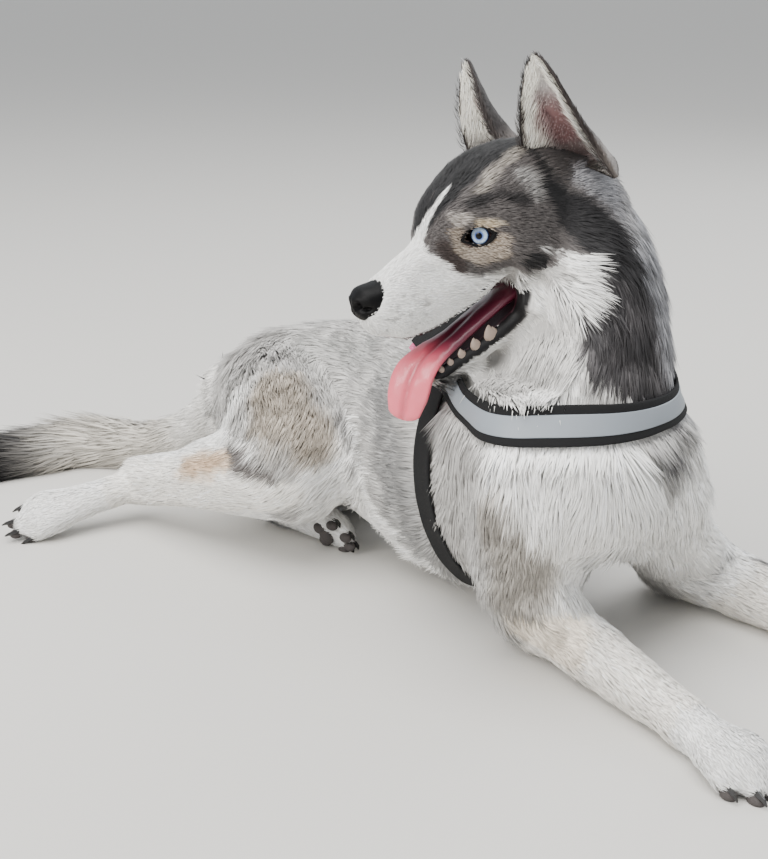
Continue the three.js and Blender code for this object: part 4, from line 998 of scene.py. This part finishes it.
def tailCrease():
    # 1 on the rump's wall that faces the tail, where the normal points to the tail's line: no hair there
    facing = np.zeros(len(surface.points))
    close = np.nonzero(np.linalg.norm(surface.points - creaseAt, axis=1) < 70)[0]
    d = spineOf(tail, 60)["centre"][None] - surface.points[close][:, None]
    nearest = np.linalg.norm(d, axis=2).argmin(1)
    facing[close] = (surface.normals()[close] * unit(d[np.arange(len(close)), nearest])).sum(1)
    return step(facing, -0.05, 0.15)


part, flow, values = coatAt(surface.points)
inside, lip = mouthMasks(surface.points)
nearEye = eyeDistance(surface.points)
q = toHead(surface.points)
noseMiddle, noseHalf = np.array([128, 0, -27]), np.array([16, 18, 14])
noseGap = step(np.linalg.norm((q - noseMiddle) / noseHalf, axis=1), 1.15, 1.0)
grounded = step(surface.points[:, 2], 7.5, 6.6)
bare = np.maximum.reduce([inside, lip, step(nearEye, 1.4, 0.6), noseGap, grounded, tailCrease()])
# mouthColour: the mouth's lining, its red darkened to a dark maroon as painted shade inside the mouth
mouthColour = np.array([0.22, 0.07, 0.115])
lipColour = np.array([0.035, 0.028, 0.034])
# The skin takes the coat's colours 6% darker: painted shade at the foot of the hair
skinColour = markings(surface.points, part) * 0.94
skinColour = blend(skinColour, lip, lipColour)
skinColour = blend(skinColour, inside, mouthColour)
skinColour = blend(skinColour, step(nearEye, 2.6, 1.4), lipColour)
print("coat laid out")


def makeSkinObject():
    # The skin with openings for the eyes, thinned to its limit of triangles, the face the least
    thing = meshObject("skin", surface.points, [f.tolist() for f in surface.quads])
    painted(thing.data, skinColour)
    skinMaterial = plain("skin", (0.6, 0.55, 0.5), roughness=0.55, attribute="coat",
                         bump=(900, 0.3, 0.0006), specular=0.3)
    thing.data.materials.append(skinMaterial)
    for s in (1, -1):
        hole = meshObject("hole", *almondPrism(s, 0.6))
        painted(hole.data, np.tile(lipColour, (len(hole.data.vertices), 1)))
        hole.data.materials.append(skinMaterial)
        addCut(thing, hole)
        settle(thing)
        bpy.data.objects.remove(hole)
    thin = thing.modifiers.new("thin", "DECIMATE")
    thin.ratio = min(1.0, skinTriangles / sum(len(f.vertices) - 2 for f in thing.data.polygons))
    group = thing.vertex_groups.new(name="body")
    p = arraysOf(thing.data)[0]
    far = np.nonzero(headWeight(p) * step(toHead(p)[:, 0], -60, -20) < 0.5)[0]
    group.add(far.tolist(), 1.0, "REPLACE")
    thin.vertex_group = "body"
    settle(thing)
    thing.data.shade_smooth()
    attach(thing, "root")
    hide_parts(*bodyNodes, "head", "lower_jaw", "tail")
    return thing


makeSkinObject()
roots = scatter(surface, part, flow, values, bare)
count = len(roots["root"])
colour = markings(roots["root"], roots["part"])
shape = tuftShapes(roots, colour)
patch = atlas(roots["root"], roots["normal"], roots["part"])
print("tufts", count)
order = np.argsort(roots["part"], kind="stable")
for k, start in enumerate(range(0, count, perPiece)):
    mine = order[start:start + perPiece]
    rows = (mine[:, None] * 5 + np.arange(5)).ravel()
    tuftObject(f"coat_{k + 1}", [values[rows] for values in shape], patch[mine])
print("coat made")


# Ears: crescent sections from the base up to the tip, the cup opening forwards

earBase = {1: (-47, 50, 45), -1: (-28, -47, 47)}
earTip = {1: (-25, 57, 147), -1: (-24, -55, 136)}
earHalf = {1: 44, -1: 39}
earOpens = {1: (0.9, 0.4, 0.1), -1: (1, -0.05, 0.1)}
earBlack = (0.15, 0.12, 0.11)
earPink = (0.49, 0.36, 0.36)


def earFrame(s):
    # Base, way up to the tip, way the cup opens and way across
    base, tip = np.array(earBase[s], float), np.array(earTip[s], float)
    rise = tip - base
    out = np.array(earOpens[s], float)
    out = unit(out - out @ rise / (rise @ rise) * rise)
    return base, rise, out, unit(np.cross(out, rise))


def earPoint(s, t, c, inner):
    # Height t up the ear, c across it from edge to edge, on the inner or the outer side of the wall
    base, rise, out, across = earFrame(s)
    half = earHalf[s] * np.maximum(1 - t, 0) ** 0.6
    deep = half * (0.95 - 0.55 * t)
    wall = 3.6 - 2.0 * t
    lean = np.where(inner, 0.95, 1.0)
    back = -deep * (1 - c * c) + np.where(inner, 0.5, -0.5) * wall
    return (base + rise * t[..., None] + out * (6 * np.sin(np.pi * t) + back)[..., None]
            + across * (c * half * lean)[..., None])


def makeEar(s):
    # Sections from the base to the tip, each round the outer side and back round the inner one
    levels = np.linspace(-0.06, 0.985, 44)
    arc = np.sin(np.linspace(-0.5, 0.5, 27) * np.pi)
    t, c = np.meshgrid(levels, np.concatenate([arc, arc[-2:0:-1]]), indexing="ij")
    inner = np.zeros_like(c, bool)
    inner[:, len(arc):] = True
    rings = earPoint(s, t, c, inner)
    points, faces = skinned(rings, rings[0].mean(0), rings[-1].mean(0) + earFrame(s)[1] * 0.012)
    pad = lambda v, first, final: np.concatenate([[first], v.ravel(), [final]])
    return fromHead(points), faces, pad(t, -0.06, 1), pad(c, 0, 0), pad(inner, False, False).astype(bool)


def earColour(p, t, c, inner, s):
    # Dark outside and at the edge, pink low in the cup, pale above and to the sides
    edge = np.abs(c) + 0.03 * noise(p, 4, 61)
    across = np.abs(c - 0.14 * s) + 0.07 * noise(p, 5, 62)
    colour = np.tile(np.array(earBlack), (len(p), 1))
    colour = blend(colour, step(t, 0.35, 0.05) * ~inner, (0.42, 0.39, 0.37))
    pink = blend(np.array(earPink), step(t, 0.45, 0.75), (0.68, 0.66, 0.65))
    cup = blend(pink, step(across + 0.5 * step(t, 0.58, 0.85), 0.42, 0.68), (0.96, 0.945, 0.90))
    cup = blend(cup, step(t, 0.2, 0.08) * 0.6, (0.45, 0.43, 0.42))
    within = inner & (edge < 0.965)
    colour[within] = cup[within]
    return np.clip(colour, 0, 1)


def growEar(s):
    # The ear's surface and colours, with the way, length, density, width and lift of its hair
    points, faces, t, c, inner = makeEar(s)
    body = Surface(points, faces)
    colour = earColour(points, t, c, inner, s)
    _, rise, _, across = earFrame(s)
    up = np.tile(rise, (len(points), 1))
    toward = np.where(inner, -np.sign(c) * 45, np.sign(c) * 10)[:, None] * across
    flow = unit((up * 0.9 + toward) @ headAxes)
    rimSide = inner & (np.abs(c) > 0.55)
    values = np.zeros((len(points), 5))
    values[:, 0] = np.where(inner, np.where(rimSide, 16 - 8 * t, 8), 7 - 2 * t) * step(t, -0.1, 0.12)
    values[:, 2] = np.where(inner, np.where(rimSide, 42, 15), 62)
    values[:, 3] = np.where(inner, 0.8, 0.85)
    values[:, 4] = np.where(inner, np.where(rimSide, 22, 26), 10)
    return body, colour, flow, values


def shadedObject(name, shape, colour, material, replaced=()):
    # One finished piece, with its colours, material and the CAD nodes it takes the place of
    thing = meshObject(name, *shape)
    if colour is not None:
        painted(thing.data, colour)
    thing.data.materials.append(material)
    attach(thing, "root")
    if replaced:
        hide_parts(*replaced)
    return thing


earSkin = plain("ear_skin", (0.5, 0.4, 0.4), roughness=0.6, attribute="coat", bump=(700, 0.3, 0.0005))
for s, side in ((1, "left"), (-1, "right")):
    body, colour, flow, values = growEar(s)
    shadedObject(f"{side}_ear_skin", (body.points, body.faces), colour, earSkin,
                 [f"{side}_ear"])
    nothing = np.zeros(len(body.points), int)
    roots = scatter(body, nothing, flow, values, nothing, extra=colour)
    shape = tuftShapes(roots, roots["extra"])
    tuftObject(f"{side}_ear_coat", shape, atlas(roots["root"], roots["normal"], roots["part"]))
print("ears made")


# Eyes: a ball with a low cornea, painted by the angle from the gaze, and a dark rim on the lids

irisAngle = np.radians(37)
pupilAngle = np.radians(13)


def makeEye(s):
    # Rings about the gaze: pupil, iris with fine rays and a darker rim, and brown beyond
    across, over, out = eyeAxes(s)
    angle = np.concatenate([np.linspace(0.02, irisAngle * 1.25, 44),
                            np.linspace(irisAngle * 1.3, np.pi - 0.05, 30)])
    turn = np.arange(96) / 96 * 2 * np.pi
    a, b = np.meshgrid(angle, turn, indexing="ij")
    r = eyeRadius * (1 + 0.05 * step(a, irisAngle * 1.1, 0))
    way = (out * np.cos(a)[..., None] + across * (np.sin(a) * np.cos(b))[..., None]
           + over * (np.sin(a) * np.sin(b))[..., None])
    centre = eyeAt * [1, s, 1]
    rings = centre + way * r[..., None]
    points, faces = skinned(rings, centre + out * eyeRadius * 1.05, centre - out * eyeRadius)
    a = np.concatenate([[0], a.ravel(), [np.pi]])
    b = np.concatenate([[0], b.ravel(), [0]])
    share = np.clip((a - pupilAngle) / (irisAngle - pupilAngle), 0, 1)
    ray = 0.5 + 0.28 * np.sin(b * 23 + 2 * np.sin(b * 5)) + 0.22 * np.sin(b * 41 + 1.7)
    inner, outer = np.array([0.24, 0.34, 0.62]), np.array([0.83, 0.91, 0.98])
    iris = blend(inner, np.clip(step(share, -0.1, 0.5) * (0.7 + 0.4 * ray), 0, 1), outer)
    colour = blend(iris, step(share, 0.8, 0.98), (0.14, 0.21, 0.38))
    colour = blend(colour, step(a, irisAngle, irisAngle * 1.12), (0.16, 0.12, 0.12))
    colour = colour * step(a, pupilAngle * 0.85, pupilAngle * 1.1)[:, None]
    return (fromHead(points), faces), np.clip(colour, 0.004, 1)


def tube(path, radii, around=12):
    # A closed ring of round sections along a closed path
    ahead = unit(np.roll(path, -1, 0) - np.roll(path, 1, 0))
    centre = path.mean(0)
    first = unit(np.cross(ahead, path - centre))
    second = np.cross(ahead, first)
    a = np.arange(around) / around * 2 * np.pi
    circle = first[:, None] * np.cos(a)[None, :, None] + second[:, None] * np.sin(a)[None, :, None]
    return wrapped(path[:, None] + radii[:, None, None] * circle)


def makeRim(s):
    # The lids' edge: a tube on the skin round the almond, never behind the ball's own surface
    outline = almondOutline(96, 0.6)
    across, over, out = eyeAxes(s)
    ball = np.sqrt(np.maximum(eyeRadius ** 2 - (outline ** 2).sum(1), 0)) + 0.6
    start = eyeAt * [1, s, 1] + across * outline[:, :1] + over * outline[:, 1:]
    d = toHead(surface.points) - eyeAt * [1, s, 1]
    flat = np.stack([d @ across, d @ over], 1)
    near = (d @ out > -8) & (np.abs(flat) < 24).all(1)
    gap = np.linalg.norm(flat[near][None] - outline[:, None], axis=2)
    weight = np.exp(-(gap / 1.6) ** 2)
    lid = (weight @ (d[near] @ out)) / weight.sum(1)
    path = start + out * np.maximum(lid - 0.3, ball)[:, None]
    corner = np.abs(outline[:, 0]) / almond[0]
    shape = tube(path, 1.1 + 0.6 * step(corner, 0.6, 1.0))
    return fromHead(shape[0]), shape[1]


eyeMaterial = plain("eye", (0.5, 0.7, 0.9), roughness=0.08, attribute="coat", specular=0.22)
rimMaterial = plain("wet_rim", (0.02, 0.017, 0.018), roughness=0.7, specular=0.2)
for s, side in ((1, "left"), (-1, "right")):
    shape, colour = makeEye(s)
    shadedObject(f"{side}_eye_ball", shape, colour, eyeMaterial, [f"{side}_eye"])
    shadedObject(f"{side}_eye_rim", makeRim(s), None, rimMaterial)


# Nose, tongue and teeth

nosePad = [[110, 0, -22, 15, 10], [121, 0, -26, 18.5, 12.5], [132, 0, -29, 17.5, 14.5],
           [139, 0, -31, 13, 12]]
noseFeatures = [
    ([144, 7.6, -28], [7, 3.2, 3], [-9, 0, 1]),  # nostril
    ([139, 14, -31], [6, 4, 2], [-3, -3, 0]),  # slit beside it
    ([145, 0, -35], [8, 1.2, 9], [-1.8, 0, 0]),  # groove
]


def makeNose():
    # A squarish loft with nostrils, their slits and the groove pressed in
    shape = loft(nosePad, 120, 26, caps=(0.3, 0.5), squareness=lambda t: 2.4 + 0 * t)
    return fromHead(sculpted(shape[0], noseFeatures)), shape[1]


tongueLine = [[-12, 0, -46, 16, 6.5, 0], [30, 0, -46, 15.5, 6.5, 0], [70, 1, -47, 14.5, 6, -8],
              [98, 2, -46, 17, 5, -20], [118, 1, -52, 19.5, 4.6, -32], [132, 1, -63, 19, 4.2, -38],
              [142, 1, -73, 15.5, 3.8, -40]]


def makeTongue():
    # A flat loft, grooved along its middle, pink outside the mouth, with painted shade: dark maroon inside
    # the mouth and darker along the groove
    points, faces = loft(tongueLine, 64, 22, caps=(0.6, 0.9))
    spine = spineOf(tongueLine, 300)
    near = nearestOn(spine, points)
    d = points - spine["centre"][near]
    off, over = (d * spine["side"][near]).sum(1), (d * spine["top"][near]).sum(1)
    x = points[:, 0]
    middle = np.exp(-(off / 3) ** 2)
    upper = step(over, -0.5, 1.5)
    groove, edge = 2.2 * middle * step(x, 20, 80), 1.2 * (off / 18) ** 2 * step(x, 90, 120)
    sink = (groove - edge - 0.4 * noise(points, 7, 71)) * upper
    points = points - spine["top"][near] * sink[:, None]
    pink, dark = np.array([0.89, 0.40, 0.46]), np.array([0.36, 0.12, 0.19])
    # Painted shade: towards the back, inside the mouth, the pink goes over into dark maroon
    colour = blend(pink, step(x + 0.25 * off, 108, 66), dark)
    # Painted shade: the middle of the top 12% darker along the groove
    colour = colour * (1 - 0.12 * middle * upper)[:, None]
    return (fromHead(dropped(points)), faces), colour


upperTeeth = [  # place along x, out from the middle, height, half length, half width
    (123, 3, 6, 2.4, 2), (121.5, 8, 7, 2.6, 2.2), (112, 14.5, 17, 4.2, 3.4), (98, 17, 6, 3.6, 2.6),
    (86, 17.5, 7, 4.6, 2.8), (72, 18.5, 7, 5.6, 3), (56, 19.5, 8, 7, 3.2), (40, 20, 4.5, 4.6, 3.4),
]
lowerTeeth = [
    (118, 2.6, 4.5, 2.2, 1.8), (117, 7, 5, 2.4, 2), (110, 11.5, 7, 3.4, 3), (98, 13, 3.5, 2.8, 2.2),
    (88, 14, 3.5, 3.0, 2.0), (76, 15.5, 4.5, 3.8, 2.2), (62, 18, 6, 4.6, 2.6), (46, 20.5, 8, 6.4, 3.0),
]
lipHeights = [-46, -47, -52, -56, -57, -56, -52]


def makeTooth(x, y, height, long, wide, base, sign):
    # A cone of rounded sections that leans back a little, with side cusps on the long ones
    tall = np.array([-5, 0, 0.35, 0.7, 0.95]) * np.array([1, height, height, height, height])
    share = np.array([1, 1, 0.8, 0.42, 0.12])
    lean = np.array([0, 0, -0.05, -0.16, -0.28]) * height
    rows = [[x + l, y, base + sign * h, long * k, wide * k] for h, k, l in zip(tall, share, lean)]
    shapes = [loft(rows, 14, 3, up=(0, 1, 0), caps=(0.2, 0.8))]
    if long > 3.8 and height < 15:
        for off in (-0.62, 0.62):
            small = [[x + off * long + 0.3 * l, y, base + sign * h * 0.55, long * 0.45 * k, wide * 0.8 * k]
                     for h, k, l in zip(tall, share, lean)]
            shapes.append(loft(small, 12, 3, up=(0, 1, 0), caps=(0.2, 0.8)))
    return joined(shapes)


def makeTeeth():
    # The upper teeth hang from the line of the lips, the lower ones stand on the jaw and drop with it
    shapes = []
    for x, y, height, long, wide in upperTeeth:
        base = float(np.interp(x, np.arange(7) * 20 + 10, lipHeights)) + 7
        for s in (1, -1):
            points, faces = makeTooth(x, s * y, height, long, wide, base, -1)
            shapes.append((fromHead(points), faces))
    for x, y, height, long, wide in lowerTeeth:
        for s in (1, -1):
            points, faces = makeTooth(x, s * y, height, long, wide, -57, 1)
            shapes.append((fromHead(dropped(points)), faces))
    return joined(shapes)


noseMaterial = plain("nose", (0.014, 0.012, 0.015), roughness=0.45, bump=(1500, 0.4, 0.0005),
                     specular=0.14)
shadedObject("nose_leather", makeNose(), None, noseMaterial, ["nose"])
shape, colour = makeTongue()
tongueMaterial = plain("tongue", (0.8, 0.4, 0.45), roughness=0.32, attribute="coat", coat=0.3,
                       bump=(900, 0.35, 0.0005))
shadedObject("tongue_top", shape, colour, tongueMaterial, ["tongue"])
# The teeth are a dim beige: their off-white darkened by painted shade inside the mouth
teethMaterial = plain("teeth", (0.60, 0.53, 0.48), roughness=0.4, coat=0.15)
shadedObject("teeth", makeTeeth(), None, teethMaterial)
print("head made")


# Harness: bands set on the CAD straps, their radius smoothed all the way round

chestRing = {"centre": (140, -135, 224), "normal": (-0.042, -0.245, 0.968), "ahead": (0, -1, 0),
             "lifts": (19, 18), "width": 22}  # lifts: how far it rises ahead and behind
girthRing = {"centre": (105, -73, 150), "normal": (0.5, -0.86, 0.04), "ahead": (0, 0, 1),
             "lifts": (0, 0), "width": 26}
bandSteps = 144
webbingProfile = [  # share of the half width, height over the band
    (-1, -1.4), (-1, -0.2), (-0.94, 0.2), (-0.8, 0.25), (-0.62, 0), (0, 0), (0.62, 0), (0.8, 0.25),
    (0.94, 0.2), (1, -0.2), (1, -1.4), (0.9, -2.4), (0, -2.6), (-0.9, -2.4),
]
stripProfile = [
    (-0.55, -0.3), (-0.55, 0.45), (-0.5, 0.65), (0, 0.7), (0.5, 0.65), (0.55, 0.45), (0.55, -0.3),
]
straps = BVHTree.FromPolygons(*[list(map(tuple, a)) for a in cadShape("harness_webbing")])


def bandFrame(ring):
    # The band's axis, and for each step round it the way out and the place on the axis
    n = unit(np.array(ring["normal"], float))
    ahead = np.array(ring["ahead"], float)
    x = unit(ahead - n * (ahead @ n))
    a = np.arange(bandSteps) / bandSteps * 2 * np.pi
    way = x * np.cos(a)[:, None] + np.cross(n, x) * np.sin(a)[:, None]
    before, behind = ring["lifts"]
    lift = before * np.maximum(np.cos(a), 0) ** 2 + behind * np.maximum(-np.cos(a), 0) ** 2
    return n, way, np.array(ring["centre"], float) + n * lift[:, None]


def bandRadius(ring):
    # How far the strap's outer face lies from the centre at its lower edge, middle and upper edge
    n, way, start = bandFrame(ring)
    found = np.empty((bandSteps, 3))
    for k, v in enumerate((-0.85, 0, 0.85)):
        for i in range(bandSteps):
            begin = start[i] + n * v * ring["width"] / 2
            hit = straps.ray_cast(Vector(begin), Vector(way[i]))
            outer = hit
            while hit[0] is not None:
                outer = hit
                hit = straps.ray_cast(hit[0] + Vector(way[i]) * 0.05, Vector(way[i]))
            found[i, k] = outer[3] if outer[0] is None else (outer[0] - Vector(begin)).length
    around = np.stack([np.roll(found, k, 0) for k in range(-5, 6)])
    middle = np.median(around, axis=0)
    around = np.stack([np.roll(middle, k, 0) for k in range(-4, 5)])
    bell = np.exp(-(np.arange(-4, 5) / 2.5) ** 2)
    return np.tensordot(bell / bell.sum(), around, 1)


def bandRings(ring, radius, profile, steps):
    # The profile set on the strap's outer face at each of the steps
    n, way, start = bandFrame(ring)
    v, h = np.array(profile, float).T
    rows = np.stack([np.interp(v, [-1, 0, 1], radius[i]) for i in steps])
    aside = n * (v * ring["width"] / 2)[None, :, None]
    return start[steps][:, None] + aside + way[steps][:, None] * (rows + h)[:, :, None]


chestRadius, girthRadius = bandRadius(chestRing), bandRadius(girthRing)
everyStep = np.arange(bandSteps)
webbing = joined([wrapped(bandRings(chestRing, chestRadius, webbingProfile, everyStep)),
                  wrapped(bandRings(girthRing, girthRadius, webbingProfile, everyStep))])
webbingMaterial = plain("webbing", (0.05, 0.05, 0.055), roughness=0.85, bump=(1600, 0.6, 0.0006),
                        specular=0.3)
shadedObject("harness_straps", webbing, None, webbingMaterial, ["harness_webbing"])
front = np.arange(-42, 43) % bandSteps
strip = bandRings(chestRing, chestRadius, stripProfile, front)
strip = skinned(strip, strip[0].mean(0), strip[-1].mean(0))
stripMaterial = plain("reflective", (0.50, 0.525, 0.55), roughness=0.42, bump=(2600, 0.25, 0.0003))
shadedObject("harness_strip", strip, None, stripMaterial, ["harness_reflective_strip"])
carried = {
    # CAD node: its material
    "harness_saddle": webbingMaterial,
    "harness_lining": plain("lining", (0.78, 0.33, 0.50), roughness=0.85, bump=(1600, 0.5, 0.0006)),
}
print("harness made")


# Paws: pads under the toes and the palm, and the claws' horn

paws = {
    # wrist or hock, toes, roll in degrees, height, share of the front paw's size
    "right_forepaw": ((212, -305, 25), (253, -383), 0, 14, 1),
    "left_forepaw": ((362, -174, 25), (407, -246), 0, 14, 1),
    "right_hindpaw": ((-245, 140, 46), (-356, 84), -42, 21, 0.88),
    "left_hindpaw": ((-111, 131, 26), (-30, 48), -62, 23, 0.88),
}


def blob(centre, axes, around=18, levels=11):
    # An ellipsoid on three half axes
    a = np.arange(around) / around * 2 * np.pi
    b = np.linspace(0, np.pi, levels)[1:-1]
    x, y, z = axes
    circle = np.cos(a)[None, :, None] * x + np.sin(a)[None, :, None] * y
    rings = centre + np.sin(b)[:, None, None] * circle + np.cos(b)[:, None, None] * z
    return skinned(rings, centre + z, centre - z)


def makePads(wrist, toes, roll, high, size):
    # Four toe pads and a palm of three, under the paw that reaches from the wrist to the toes
    start = np.array(wrist, float)
    way = np.array([*toes, high], float) - start
    length = np.hypot(way[0], way[1])
    ahead = unit(way * [1, 1, 0])
    angle = np.radians(roll)
    side = np.array([-ahead[1], ahead[0], 0]) * np.cos(angle) + np.array([0, 0, 1]) * np.sin(angle)
    top = np.cross(ahead, side)

    def put(reach, off, over):
        rise = (high - start[2]) * min(1, reach / length)
        return start + ahead * reach + [0, 0, rise] + side * off * size + top * over * size

    toe = (ahead * 7.5 * size, side * 5.4 * size, top * 5.4 * size)
    shapes = [blob(put(length + short - 1, off, -6.5), toe)
              for short, off in ((-13, -18.75), (0, -6.25), (0, 6.25), (-13, 18.75))]
    shapes.append(blob(put(length - 27, 0, -10.5), (ahead * 9 * size, side * 10 * size, top * 5.5 * size)))
    lobe = (ahead * 8 * size, side * 7 * size, top * 5 * size)
    shapes += [blob(put(length - 33, s * 9, -10), lobe) for s in (1, -1)]
    points, faces = joined(shapes)
    points[:, 2] = np.maximum(points[:, 2], lowest)
    return points, faces


padMaterial = plain("paw_pad", (0.26, 0.24, 0.235), roughness=0.75, bump=(1500, 0.7, 0.0008))
shadedObject("paw_pads", joined([makePads(*v) for v in paws.values()]), None, padMaterial)
clawMaterial = plain("claw", (0.08, 0.07, 0.065), roughness=0.35, coat=0.2)
for name in paws:
    for k in range(1, 5):
        carried[f"{name}_claw_{k}"] = clawMaterial
for name, material in carried.items():
    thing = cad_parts[name]
    thing.data.materials.clear()
    thing.data.materials.append(material)
print("paws made")
